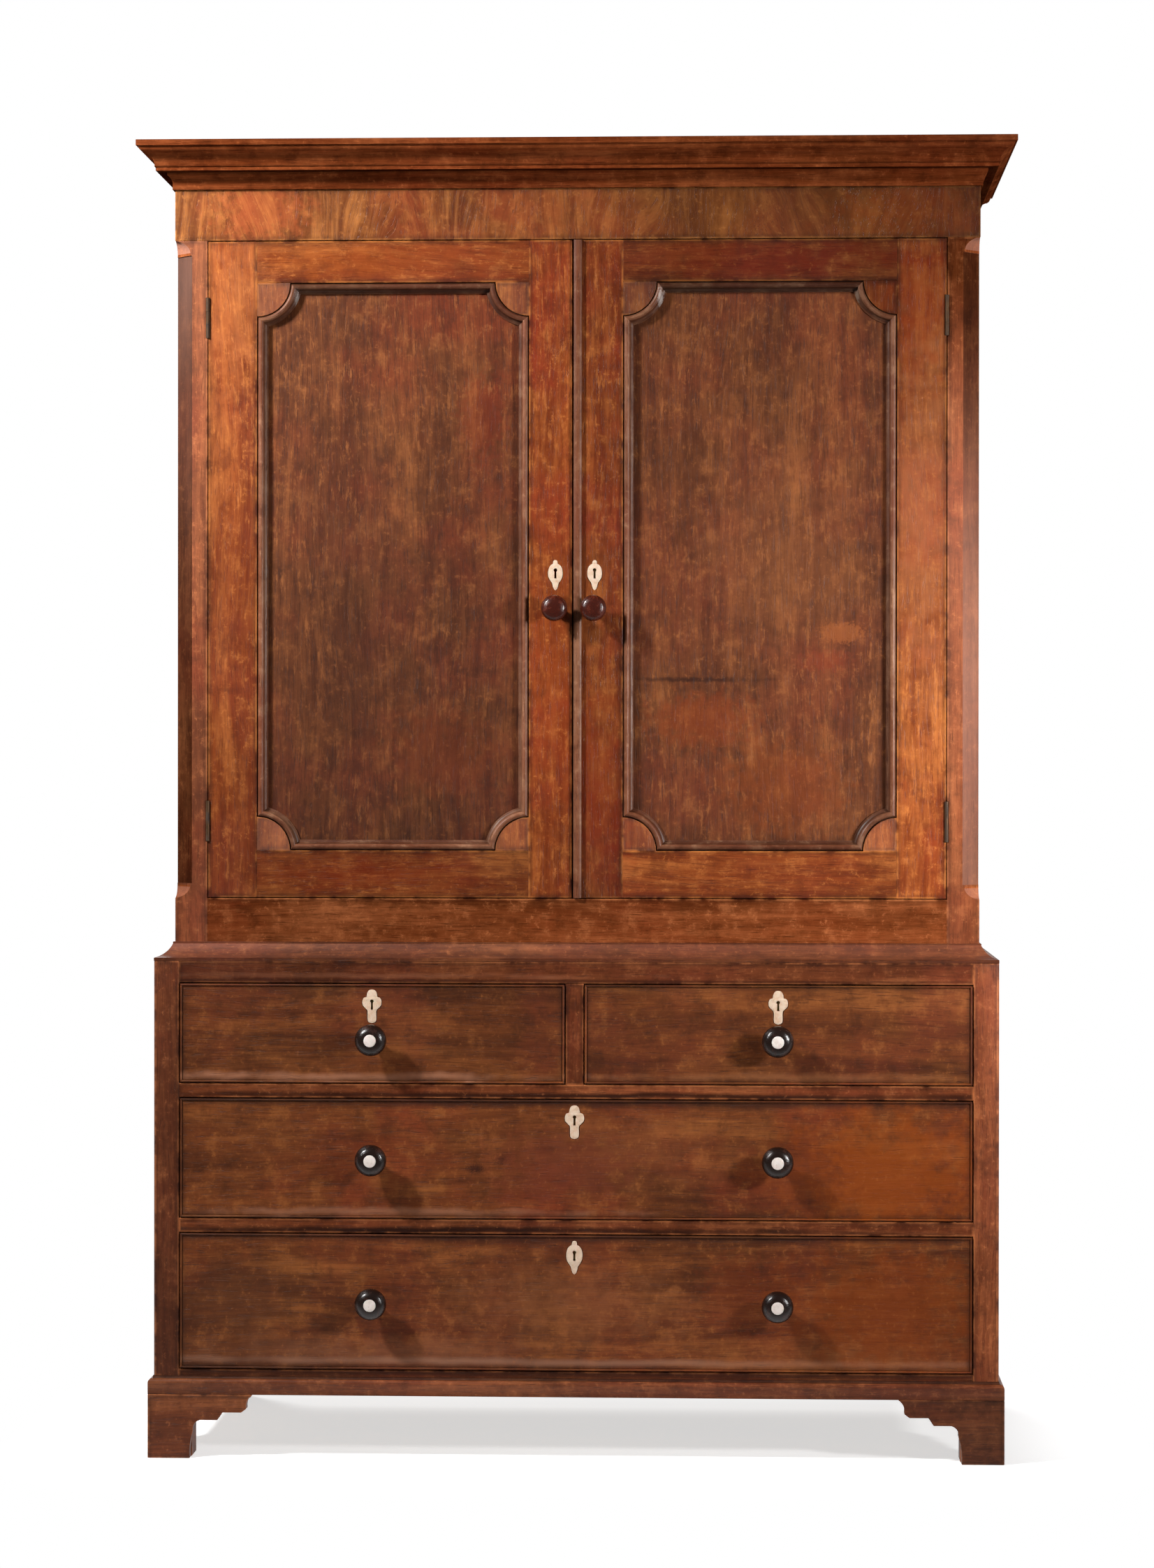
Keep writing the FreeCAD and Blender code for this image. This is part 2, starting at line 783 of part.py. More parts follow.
def door_moulding():
    # Straight lengths and hollow corners, each cut to the mitre that it shares with the next.
    section = moulding_section()
    panel_y = press_front + panel_recess
    r = spandrel_radius
    w = panel_moulding_width
    reach = math.sqrt((r + w) ** 2 - w**2)
    deep = panel_y + over
    proud = press_front - panel_moulding_proud - over
    centre_x = (panel_left + panel_right) / 2
    centre_z = (panel_low + panel_high) / 2
    half_x = (panel_right - panel_left) / 2
    half_z = (panel_high - panel_low) / 2
    solids = []

    def trapezium(half_run):
        return [(-half_run + r, 0), (half_run - r, 0), (half_run - reach, w), (reach - half_run, w)]

    def straight(half_run, place, along, cut_place):
        bar = outline(section, place).extrude(along)
        room = outline(trapezium(half_run), cut_place).extrude(V(0, deep - proud, 0))
        return bar.common(room)

    for side in (-1, 1):
        edge_z = centre_z + side * half_z
        solids.append(
            straight(
                half_x,
                lambda t, h: V(centre_x - half_x, panel_y - h, edge_z - side * t),
                V(2 * half_x, 0, 0),
                lambda u, t: V(centre_x + u, proud, edge_z - side * t),
            )
        )
        edge_x = centre_x + side * half_x
        solids.append(
            straight(
                half_z,
                lambda t, h: V(edge_x - side * t, panel_y - h, centre_z - half_z),
                V(0, 0, 2 * half_z),
                lambda u, t: V(edge_x - side * t, proud, centre_z + u),
            )
        )
    far = r + 2 * w
    for side_x in (-1, 1):
        for side_z in (-1, 1):
            x = centre_x + side_x * half_x
            z = centre_z + side_z * half_z
            ring = outline(section, lambda t, h: V(x + r + t, panel_y - h, z))
            ring = ring.revolve(V(x, 0, z), V(0, 1, 0), 360)
            skew = (reach - r) / w
            room = outline(
                [(0, 0), (r, 0), (r + skew * far, far), (far * 2, far * 2), (far, r + skew * far), (0, r)],
                lambda u, v: V(x - side_x * u, proud, z - side_z * v),
            )
            solids.append(ring.common(room.extrude(V(0, deep - proud, 0))))
    return solids


def whole(half):
    # The outline of a symmetrical plate, from the corners of its right half, top to bottom.
    return half + [(-u, w) for u, w in reversed(half) if u > 0]


def grown(corner, gap):
    # The corner moved away from the middle of its plate by a clearance.
    reach = math.hypot(*corner)
    return tuple(size * (reach + gap) / reach for size in corner)


def kite_steps(scale):
    # A small round head, an oval body and a tapering tail.
    h = kite_height * scale
    w = kite_width * scale / 2
    half = [(0, 0.5), (0.28, 0.46), (0.32, 0.38), (0.78, 0.28), (1, 0.1), (0.92, -0.08), (0.5, -0.25)]
    half += [(0.26, -0.44), (0, -0.5)]
    return whole([(u * w, v * h) for u, v in half])


def urn_steps():
    # A domed head, wide shoulders and a straight tail.
    h = urn_height
    w = urn_width / 2
    half = [(0, 0.5), (0.34, 0.46), (0.54, 0.34), (0.56, 0.28), (0.92, 0.22), (1, 0.1), (0.88, -0.02)]
    half += [(0.54, -0.08), (0.48, -0.42), (0.3, -0.5)]
    return whole([(u * w, v * h) for u, v in half])


def keyhole(x, z, y0, y1):
    # A round head over a slot.
    r = keyhole_radius
    slot = keyhole_slot / 2
    half = [(0.4 * r, r), (r, 0.4 * r), (r, -0.4 * r), (slot, -r), (slot, -keyhole_length)]
    return front_plate(whole(half), x, z, y0, y1)


def escutcheon(steps, x, z, face_y):
    deep = face_y - plate_proud + plate_thickness
    plate = front_plate(steps, x, z, face_y - plate_proud, deep)
    room = [grown(step, plate_clearance) for step in steps]
    recess = front_plate(room, x, z, face_y - over, deep + plate_clearance)
    plate = plate.cut(keyhole(x, z + key_rise, face_y - 2 * over, face_y + plate_thickness))
    return plate, recess


def knob(x, face_y, z, radius, projection, shank, inset):
    # Turned in one piece with its shank; a drawer knob's face is sunk for a disc of bone.
    # The shares of the radius and the projection: a collar, a neck and a flattened bun.
    shares = [(0.57, 0), (0.6, 0.05), (0.4, 0.11), (0.37, 0.25), (0.49, 0.41), (0.87, 0.55)]
    shares += [(1, 0.66), (0.94, 0.8), (0.72, 0.93)]
    steps = [(shank_radius, -shank), (shank_radius, 0)]
    steps += [(u * radius, v * projection) for u, v in shares]
    if inset:
        sunk = projection + inset_proud - inset_thickness
        steps += [(inset_radius + inset_rim, projection), (inset_radius, projection), (inset_radius, sunk)]
    else:
        steps += [(0.4 * radius, projection)]
    return turned(steps, x, face_y, z)


def bone_disc(x, face_y, z):
    low = drawer_knob_projection + inset_proud - inset_thickness
    high = drawer_knob_projection + inset_proud
    return turned([(inset_radius, low), (inset_radius, high)], x, face_y, z)


def shank_hole(x, z, y0, y1):
    radius = shank_radius + shank_clearance
    return turned([(radius, 0), (radius, y1 - y0)], x, y1, z)


def lock_parts(x, top_z):
    # A lock let into the back of a drawer front, its bolt shooting upwards.
    back_y = chest_front + drawer_front_thickness
    front_y = back_y - lock_thickness
    bolt_y = back_y - lock_thickness / 2
    case = block(x - lock_width / 2, x + lock_width / 2, front_y, back_y, top_z - lock_height, top_z)
    half = lock_bolt_width / 2
    y_half = lock_bolt_thickness / 2
    bolt = block(x - half, x + half, bolt_y - y_half, bolt_y + y_half, top_z - lock_bolt_length, top_z)
    gap = lock_bolt_clearance
    room = block(
        x - half - gap,
        x + half + gap,
        bolt_y - y_half - gap,
        bolt_y + y_half + gap,
        top_z - lock_bolt_length - gap,
        top_z + over,
    )
    return case, case.cut(room), bolt


class Drawer:
    # One drawer: where it lies, its knobs, and the kind of its escutcheon.

    def __init__(self, name, x0, x1, z0, height, knob_xs, knob_drop, steps):
        self.name = name
        self.x0 = x0 + drawer_gap
        self.x1 = x1 - drawer_gap
        self.z0 = z0 + drawer_gap
        self.z1 = z0 + height - drawer_gap
        self.side_low = z0 + runner_clearance
        self.side_high = z0 + height - drawer_side_drop
        self.knob_xs = knob_xs
        self.knob_z = (self.z0 + self.z1) / 2 - knob_drop
        self.key_x = (self.x0 + self.x1) / 2
        self.key_z = self.z1 - plate_below_edge
        self.steps = steps
        self.front_y = chest_front
        self.back_y = chest_front + drawer_front_thickness

    def bead_bars(self):
        # A cock bead is a thin strip with a rounded nose, let in along each edge of the front.
        w = cock_bead_width
        nose = cock_bead_proud
        section = [(0, cock_bead_depth), (w, cock_bead_depth), (w, -0.3 * nose), (0.7 * w, -nose)]
        section += [(0.3 * w, -nose), (0, -0.3 * nose)]
        x0, x1, z0, z1 = self.x0, self.x1, self.z0, self.z1
        y = self.front_y
        wide = V(x1 - x0, 0, 0)
        tall = V(0, 0, z1 - z0)
        bars = [
            outline(section, lambda t, d: V(x0, y + d, z0 + t)).extrude(wide),
            outline(section, lambda t, d: V(x0, y + d, z1 - t)).extrude(wide),
            outline(section, lambda t, d: V(x0 + t, y + d, z0)).extrude(tall),
            outline(section, lambda t, d: V(x1 - t, y + d, z0)).extrude(tall),
        ]
        mitres = [
            [(x0, z0), (x1, z0), (x1 - w, z0 + w), (x0 + w, z0 + w)],
            [(x0, z1), (x1, z1), (x1 - w, z1 - w), (x0 + w, z1 - w)],
            [(x0, z0), (x0, z1), (x0 + w, z1 - w), (x0 + w, z0 + w)],
            [(x1, z0), (x1, z1), (x1 - w, z1 - w), (x1 - w, z0 + w)],
        ]
        beads = []
        for bar, corners in zip(bars, mitres):
            face = outline(corners, lambda x, z: V(x, y - nose - over, z))
            beads.append(bar.common(face.extrude(V(0, cock_bead_depth + nose + 2 * over, 0))))
        return beads

    def tails(self, x0, x1):
        # Tails on the front end of one side, that flare towards the face and stop short of it.
        y_back = self.back_y
        y_front = self.front_y + cock_bead_depth + dovetail_cover
        pitch = (self.side_high - self.side_low) / dovetail_count
        tails = []
        for i in range(dovetail_count):
            mid = self.side_low + (i + 0.5) * pitch
            root = pitch * 0.32
            tip = root + dovetail_flare
            steps = [(y_back, mid - root), (y_back, mid + root), (y_front, mid + tip), (y_front, mid - tip)]
            tails.append(side_prism(steps, x0, x1))
        return tails

    def front(self, side_tails, lock_case, recess):
        board = block(self.x0, self.x1, self.front_y, self.back_y, self.z0, self.z1)
        w = cock_bead_width
        frame = block(self.x0, self.x1, self.front_y - over, self.front_y + cock_bead_depth, self.z0, self.z1)
        field = block(
            self.x0 + w,
            self.x1 - w,
            self.front_y - 2 * over,
            self.front_y + cock_bead_depth + over,
            self.z0 + w,
            self.z1 - w,
        )
        board = board.cut(frame.cut(field))
        for tail in side_tails:
            board = board.cut(tail)
        board = board.cut(lock_case).cut(recess)
        board = board.cut(keyhole(self.key_x, self.key_z + key_rise, self.front_y - over, self.back_y))
        for x in self.knob_xs:
            board = board.cut(shank_hole(x, self.knob_z, self.front_y - over, self.back_y + over))
        return [board] + self.bead_bars()

    def box(self):
        t = drawer_side_thickness
        rear = self.front_y + drawer_length
        bottom_z = self.side_low + drawer_bottom_rise
        bottom = block(
            self.x0 + t - drawer_groove,
            self.x1 - t + drawer_groove,
            self.back_y,
            rear,
            bottom_z,
            bottom_z + drawer_bottom_thickness,
        )
        solids = []
        all_tails = []
        for x0 in (self.x0, self.x1 - t):
            side = block(x0, x0 + t, self.back_y, rear, self.side_low, self.side_high)
            tails = self.tails(x0, x0 + t)
            for tail in tails:
                side = side.fuse(tail)
            all_tails += tails
            solids.append(side.removeSplitter().cut(bottom))
        rear_board = block(
            self.x0 + t,
            self.x1 - t,
            rear - t,
            rear,
            bottom_z + drawer_bottom_thickness,
            self.side_high,
        )
        return solids + [bottom, rear_board], all_tails

    def write(self):
        plate, recess = escutcheon(self.steps, self.key_x, self.key_z, self.front_y)
        case, case_open, bolt = lock_parts(self.key_x, self.z1)
        box_solids, side_tails = self.box()
        shank = drawer_front_thickness
        knobs = [
            knob(x, self.front_y, self.knob_z, drawer_knob_radius, drawer_knob_projection, shank, True)
            for x in self.knob_xs
        ]
        bone = [plate] + [bone_disc(x, self.front_y, self.knob_z) for x in self.knob_xs]
        export(self.name + "_drawer_front", self.front(side_tails, case, recess))
        export(self.name + "_drawer_box", box_solids)
        export(self.name + "_drawer_knobs", knobs)
        export(self.name + "_drawer_bone", bone)
        export(self.name + "_drawer_lock", [case_open])
        export(self.name + "_drawer_lock_bolt", [bolt])


def drawers():
    half = divider_width / 2
    outer = opening_half
    urn = urn_steps()
    pair = [-long_knob_offset, long_knob_offset]
    short = (short_drawer_z, short_opening_height)
    return [
        Drawer("left_short", -outer, -half, *short, [-long_knob_offset], drawer_knob_drop, urn),
        Drawer("right_short", half, outer, *short, [long_knob_offset], drawer_knob_drop, urn),
        Drawer("middle", -outer, outer, middle_drawer_z, middle_opening_height, pair, 0, urn),
        Drawer("bottom", -outer, outer, bottom_drawer_z, bottom_opening_height, pair, 0, kite_steps(1)),
    ]


def door_lock():
    # A lock let into the back of the right door's meeting stile, its bolt shooting to the left.
    back_y = door_back
    x0 = right_door_edge
    half = lock_width / 2
    depth = lock_height
    case = block(x0, x0 + depth, back_y - lock_thickness, back_y, door_key_z - half, door_key_z + half)
    bolt_y = back_y - lock_thickness / 2
    y_half = lock_bolt_thickness / 2
    z_half = lock_bolt_width / 2
    length = lock_bolt_length
    bolt = block(x0, x0 + length, bolt_y - y_half, bolt_y + y_half, door_key_z - z_half, door_key_z + z_half)
    gap = lock_bolt_clearance
    room = block(
        x0 - over,
        x0 + length + gap,
        bolt_y - y_half - gap,
        bolt_y + y_half + gap,
        door_key_z - z_half - gap,
        door_key_z + z_half + gap,
    )
    wide = mortice_clearance
    reach = right_door_edge - lock_bolt_throw - mortice_clearance
    mortice = block(
        reach,
        0,
        bolt_y - y_half - wide,
        bolt_y + y_half + wide,
        door_key_z - z_half - wide,
        door_key_z + z_half + wide,
    )
    return case, case.cut(room), bolt, mortice


def door_common(frame, plate_x, knob_x):
    # What both doors have: the recess for the escutcheon, the keyhole and the knob's hole.
    plate, recess = escutcheon(kite_steps(door_plate_scale), plate_x, door_key_z, press_front)
    knob_z = door_z + door_knob_height
    hole = shank_hole(knob_x, knob_z, press_front - over, door_back + over)
    stile = frame[0].cut(recess).cut(hole)
    key_depth = door_back - lock_thickness
    stile = stile.cut(keyhole(plate_x, door_key_z + key_rise, press_front - over, key_depth))
    knob_solid = knob(
        knob_x, press_front, knob_z, door_knob_radius, door_knob_projection, door_thickness, False
    )
    return stile, plate, knob_solid


def left_door():
    frame = [mirrored(piece) for piece in door_frame(left_door_edge)]
    stile, plate, knob_solid = door_common(frame, -left_plate_inset, -left_knob_inset)
    mortice = door_lock()[3]
    export("left_door_frame", [stile.cut(mortice)] + frame[1:])
    export("left_door_panel", [mirrored(door_panel())])
    export("left_door_moulding", [mirrored(piece) for piece in door_moulding()])
    export("left_door_knob", [knob_solid])
    export("left_door_escutcheon", [plate])
    export("left_door_hinges", [mirrored(piece) for piece in door_hinges()])
    door_bolts()


def bolt_guide(z0, z1):
    # A back plate on the door with two staples over the bolt.
    x = -bolt_x
    half = guide_width / 2
    y = door_back
    plate = block(x - half, x + half, y, y + guide_thickness, z0, z1)
    gap = bolt_clearance
    inner = bolt_width / 2 + gap
    wall = guide_thickness
    top_y = bolt_front + bolt_thickness + gap
    staple_height = bolt_width
    for z in (z0 + staple_height, z1 - 2 * staple_height):
        staple = block(x - inner - wall, x + inner + wall, y, top_y + wall, z, z + staple_height)
        room = block(x - inner, x + inner, bolt_front, top_y, z - over, z + staple_height + over)
        plate = plate.fuse(staple.cut(room))
    return plate.removeSplitter()


def slip_bolt(z0, z1, knob_z):
    # A flat bar with a finger knob between the staples.
    x = -bolt_x
    half = bolt_width / 2
    face = bolt_front + bolt_thickness
    bar = block(x - half, x + half, bolt_front + bolt_float, face, z0, z1)
    finger = rod(bolt_knob_radius, V(x, face - over, knob_z), V(0, 1, 0), bolt_knob_length + over)
    return bar.fuse(finger).removeSplitter()


def door_bolts():
    top = door_z + door_height
    guide_edge = bolt_throw + bolt_width
    low_guide = (door_z + guide_edge, door_z + guide_edge + guide_length)
    high_guide = (top - guide_edge - guide_length, top - guide_edge)
    export("left_door_bolt_guides", [bolt_guide(*high_guide), bolt_guide(*low_guide)])
    high_mid = sum(high_guide) / 2
    low_mid = sum(low_guide) / 2
    start = top - bolt_retraction
    export("left_door_top_bolt", [slip_bolt(start - bolt_length, start, high_mid)])
    start = door_z + bolt_retraction
    export("left_door_bottom_bolt", [slip_bolt(start, start + bolt_length, low_mid)])


def meeting_bead():
    # An astragal planted on the right door's meeting edge.
    x0 = right_door_edge
    w = meeting_bead_width
    out = meeting_bead_proud
    steps = [(0, 0), (0, -out * 0.4), (w / 2, -out, w, -out * 0.4), (w, 0)]
    face = outline(steps, lambda u, v: V(x0 + u, press_front + v, door_z))
    return face.extrude(V(0, 0, door_height))


def right_door():
    frame = door_frame(right_door_edge)
    stile, plate, knob_solid = door_common(frame, right_plate_inset, right_knob_inset)
    case, case_open, bolt, mortice = door_lock()
    export("right_door_frame", [stile.cut(case)] + frame[1:])
    export("right_door_panel", [door_panel()])
    export("right_door_moulding", door_moulding())
    export("right_door_meeting_bead", [meeting_bead()])
    export("right_door_knob", [knob_solid])
    export("right_door_escutcheon", [plate])
    export("right_door_hinges", door_hinges())
    export("right_door_lock", [case_open])
    export("right_door_lock_bolt", [bolt])


def chest():
    export("chest_sides", chest_sides())
    export("chest_stiles", chest_stiles())
    export("chest_rails", chest_rails())
    export("chest_boards", chest_boards())
    export("drawer_runners", drawer_runners() + drawer_stops())
    export("chest_back_boards", back_boards(chest_inner_half, foot_height, chest_top, chest_back_count))
    export("waist_moulding", waist_moulding())
    export("base_moulding", base_moulding())
    export("bracket_feet", bracket_feet())


def cupboard():
    export("press_sides", press_sides())
    export("press_front_frame", press_front_frame())
    export("press_boards", press_boards())
    export("press_back_boards", back_boards(press_inner_half, chest_top, press_top, press_back_count))
    export("frieze", frieze())
    export("cornice_moulding", cornice_moulding())
    export("cornice_core", cornice_core())
    export("shelves", shelves())
    export("case_hinges", case_hinges())


os.makedirs("parts", exist_ok=True)
chest()
cupboard()
left_door()
right_door()
for drawer in drawers():
    drawer.write()
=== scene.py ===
import json
import math
import random

import bmesh
import bpy
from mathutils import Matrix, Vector

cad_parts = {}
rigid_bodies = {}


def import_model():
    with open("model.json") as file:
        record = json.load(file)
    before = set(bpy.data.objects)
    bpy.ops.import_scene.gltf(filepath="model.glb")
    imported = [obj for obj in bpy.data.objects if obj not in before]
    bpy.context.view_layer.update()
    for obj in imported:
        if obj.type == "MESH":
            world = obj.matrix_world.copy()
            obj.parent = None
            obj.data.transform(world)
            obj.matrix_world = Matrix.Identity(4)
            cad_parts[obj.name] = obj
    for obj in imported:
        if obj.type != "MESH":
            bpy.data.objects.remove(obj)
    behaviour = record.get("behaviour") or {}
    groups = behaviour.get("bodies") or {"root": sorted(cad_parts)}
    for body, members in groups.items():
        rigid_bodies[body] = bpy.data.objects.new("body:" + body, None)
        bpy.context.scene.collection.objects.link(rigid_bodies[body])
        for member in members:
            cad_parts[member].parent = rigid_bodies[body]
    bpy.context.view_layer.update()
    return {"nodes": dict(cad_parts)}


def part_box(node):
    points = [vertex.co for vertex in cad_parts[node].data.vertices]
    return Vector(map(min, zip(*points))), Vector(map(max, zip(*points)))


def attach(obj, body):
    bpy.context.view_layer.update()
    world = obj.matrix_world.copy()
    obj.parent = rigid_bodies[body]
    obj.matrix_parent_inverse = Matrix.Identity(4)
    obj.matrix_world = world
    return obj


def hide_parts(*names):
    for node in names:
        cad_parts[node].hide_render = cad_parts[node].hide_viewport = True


# A linen press: every board, moulding, knob and fitting is dressed over the frame that is loaded here.
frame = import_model()
nodes = frame["nodes"]
print("frame loaded,", len(nodes), "nodes")


class Value:
    # Something that flows through a node tree; arithmetic on it adds Math nodes.
    def __init__(self, maker, socket):
        self.maker = maker
        self.socket = socket

    def maths(self, operation, *numbers):
        return self.maker.value("ShaderNodeMath", {"operation": operation}, dict(enumerate(numbers)))

    def __add__(self, other):
        return self.maths("ADD", self, other)

    def __sub__(self, other):
        return self.maths("SUBTRACT", self, other)

    def __mul__(self, other):
        return self.maths("MULTIPLY", self, other)

    def __truediv__(self, other):
        return self.maths("DIVIDE", self, other)

    def __rsub__(self, other):
        return self.maths("SUBTRACT", other, self)

    __radd__ = __add__
    __rmul__ = __mul__

    def between(self, low, high):
        # 0 up to low, 1 from high on, and an easy slope in between
        values = {"Value": self, "From Min": low, "From Max": high}
        return self.maker.value("ShaderNodeMapRange", {"interpolation_type": "SMOOTHSTEP"}, values)


class NodeMaker:
    # Adds nodes to one tree: the settings first, then the values or links of the sockets.
    def __init__(self, tree):
        self.tree = tree

    def node(self, kind, settings=None, values=None):
        made = self.tree.nodes.new(kind)
        for name, setting in (settings or {}).items():
            setattr(made, name, setting)
        for key, value in (values or {}).items():
            self.feed(socketNamed(made.inputs, key), value)
        return made

    def feed(self, socket, value):
        if isinstance(value, Value):
            self.tree.links.new(value.socket, socket)
        elif value is not None:
            socket.default_value = value

    def value(self, kind, settings=None, values=None, out=0):
        return Value(self, socketNamed(self.node(kind, settings, values).outputs, out))

    def vector(self, operation, *parts):
        return self.value("ShaderNodeVectorMath", {"operation": operation}, dict(enumerate(parts)))

    def length(self, vector):
        return self.value("ShaderNodeVectorMath", {"operation": "LENGTH"}, {0: vector}, "Value")

    def point(self, *parts):
        return self.value("ShaderNodeCombineXYZ", None, dict(enumerate(parts)))

    def parts(self, vector):
        made = self.node("ShaderNodeSeparateXYZ", None, {0: vector})
        return [Value(self, socket) for socket in made.outputs]


def socketNamed(sockets, key):
    if isinstance(key, int):
        return sockets[key]
    return next(socket for socket in sockets if key in (socket.identifier, socket.name))


def tint(red, green, blue):
    # A colour as it is seen on a screen, 0 to 255, made linear
    def linear(level):
        level /= 255
        return level / 12.92 if level < 0.04045 else ((level + 0.055) / 1.055) ** 2.4
    return (linear(red), linear(green), linear(blue), 1)


class Paint(NodeMaker):
    # One material: a Principled shader and what feeds it.
    def __init__(self, name, fixed=None):
        self.material = bpy.data.materials.new(name)
        self.material.use_nodes = True
        super().__init__(self.material.node_tree)
        self.tree.nodes.clear()
        self.shader = self.node("ShaderNodeBsdfPrincipled", None, fixed)
        self.node("ShaderNodeOutputMaterial", None, {"Surface": Value(self, self.shader.outputs[0])})

    def place(self):
        return self.value("ShaderNodeTexCoord", out="Object")

    def attribute(self, name):
        return self.value("ShaderNodeAttribute", {"attribute_name": name}, out="Vector")

    def noise(self, place, stretch, detail=3, rough=0.5, out=0):
        if not isinstance(stretch, (int, float)):
            place, stretch = self.vector("MULTIPLY", place, stretch), 1
        values = {"Vector": place, "Scale": stretch, "Detail": detail, "Roughness": rough}
        return self.value("ShaderNodeTexNoise", None, values, out)

    def stray(self, place, stretch, reach, detail=2, rough=0.5):
        # A shift this way and that, as far as reach in each direction
        shift = self.vector("SUBTRACT", self.noise(place, stretch, detail, rough, "Color"), (0.5,) * 3)
        return self.vector("MULTIPLY", shift, reach)

    def mixed(self, first, second, share, how="MIX"):
        values = {"Factor_Float": share, "A_Color": first, "B_Color": second}
        return self.value("ShaderNodeMix", {"data_type": "RGBA", "blend_type": how}, values, "Result_Color")

    def coated(self, colour, coats):
        for coat, share in coats:
            colour = self.mixed(colour, coat, share)
        return colour

    def bump(self, height, distance):
        return self.value("ShaderNodeBump", None, {"Height": height, "Distance": distance, "Strength": 1})

    def finish(self, colour, roughness, normal, metallic=None):
        fed = {"Base Color": colour, "Roughness": roughness, "Normal": normal, "Metallic": metallic}
        for key, value in fed.items():
            self.feed(socketNamed(self.shader.inputs, key), value)
        return self.material


# Mahogany: from deep to light, with a red cast in clouds. Streaks, ribbons and fibres run with the
# grain, flecks are short dashes, mottle is the blotched old polish, glow is where the figure lights up,
# wear lightens the arrises, and painted shade with some grime darkens the wood between two distances from a
# board's edge.
caseLook = dict(
    deep=(58, 24, 9), middle=(114, 56, 27), light=(172, 102, 60), red=(124, 48, 24), wander=0.05,
    streaks=0.6, ribbons=0.6, fibres=0.45, flecks=0.35, mottle=0.7, clouds=0.35, glow=0.35, wear=0.6,
    grime=(0.001, 0.009), dirt=0.5, rough=0.4, gloss=0.22,
    fan=(0, 0),  # the height about which the grain fans out, and how much
    face=(0, 1e6),  # how far back the marked front lies, and how deep the marks go
)
mahoganyLooks = {
    "case": caseLook,
    "post": dict(caseLook, gloss=0),
    "rail": dict(caseLook, gloss=0.14),
    "crown": dict(caseLook, deep=(62, 24, 10), middle=(124, 58, 26), light=(180, 100, 56), gloss=0),
    "door": dict(
        caseLook, deep=(92, 32, 8), middle=(158, 73, 25), light=(222, 134, 66), red=(150, 48, 17),
        wander=0.06, flecks=0.7, clouds=0.65, glow=0.45, dirt=0.55, rough=0.36),
    "panel": dict(
        caseLook, deep=(70, 32, 15), middle=(118, 62, 31), light=(192, 116, 62), red=(140, 48, 16),
        streaks=0.5, ribbons=0.5, fibres=0.5, flecks=0.65, mottle=0.65, clouds=0.7, glow=0.3, wear=0.45,
        grime=(0.014, 0.034), dirt=0.3, rough=0.45, gloss=0.2, face=(-0.2196, 0.004)),
    # Paler and pinker than the door's wood, which also paints the sheen of the lamps on the rounded
    # mouldings
    "moulding": dict(
        caseLook, deep=(92, 44, 24), middle=(158, 92, 60), light=(214, 160, 122), red=(150, 70, 44),
        wander=0.04, streaks=0.5, ribbons=0.5, fibres=0.3, flecks=0.4, mottle=0.8, clouds=0.4, glow=0.3,
        grime=(0, 0.001), dirt=0, rough=0.34),
    "drawer": dict(
        caseLook, deep=(54, 24, 8), middle=(108, 54, 22), light=(162, 96, 46), red=(118, 42, 14),
        streaks=0.55, ribbons=0.7, fibres=0.4, flecks=0.3, clouds=0.6, glow=0.45, wear=0.45,
        grime=(0.001, 0.013)),
    "veneer": dict(
        caseLook, deep=(96, 44, 14), middle=(152, 84, 34), light=(220, 140, 72), red=(172, 64, 24),
        wander=0.16, streaks=1, ribbons=0.95, fibres=0.35, flecks=0.3, mottle=0.55, clouds=0.5, glow=0.4,
        wear=0.5, grime=(0.001, 0.01), dirt=0.45, rough=0.38, fan=(1.854, 0.9)),
}


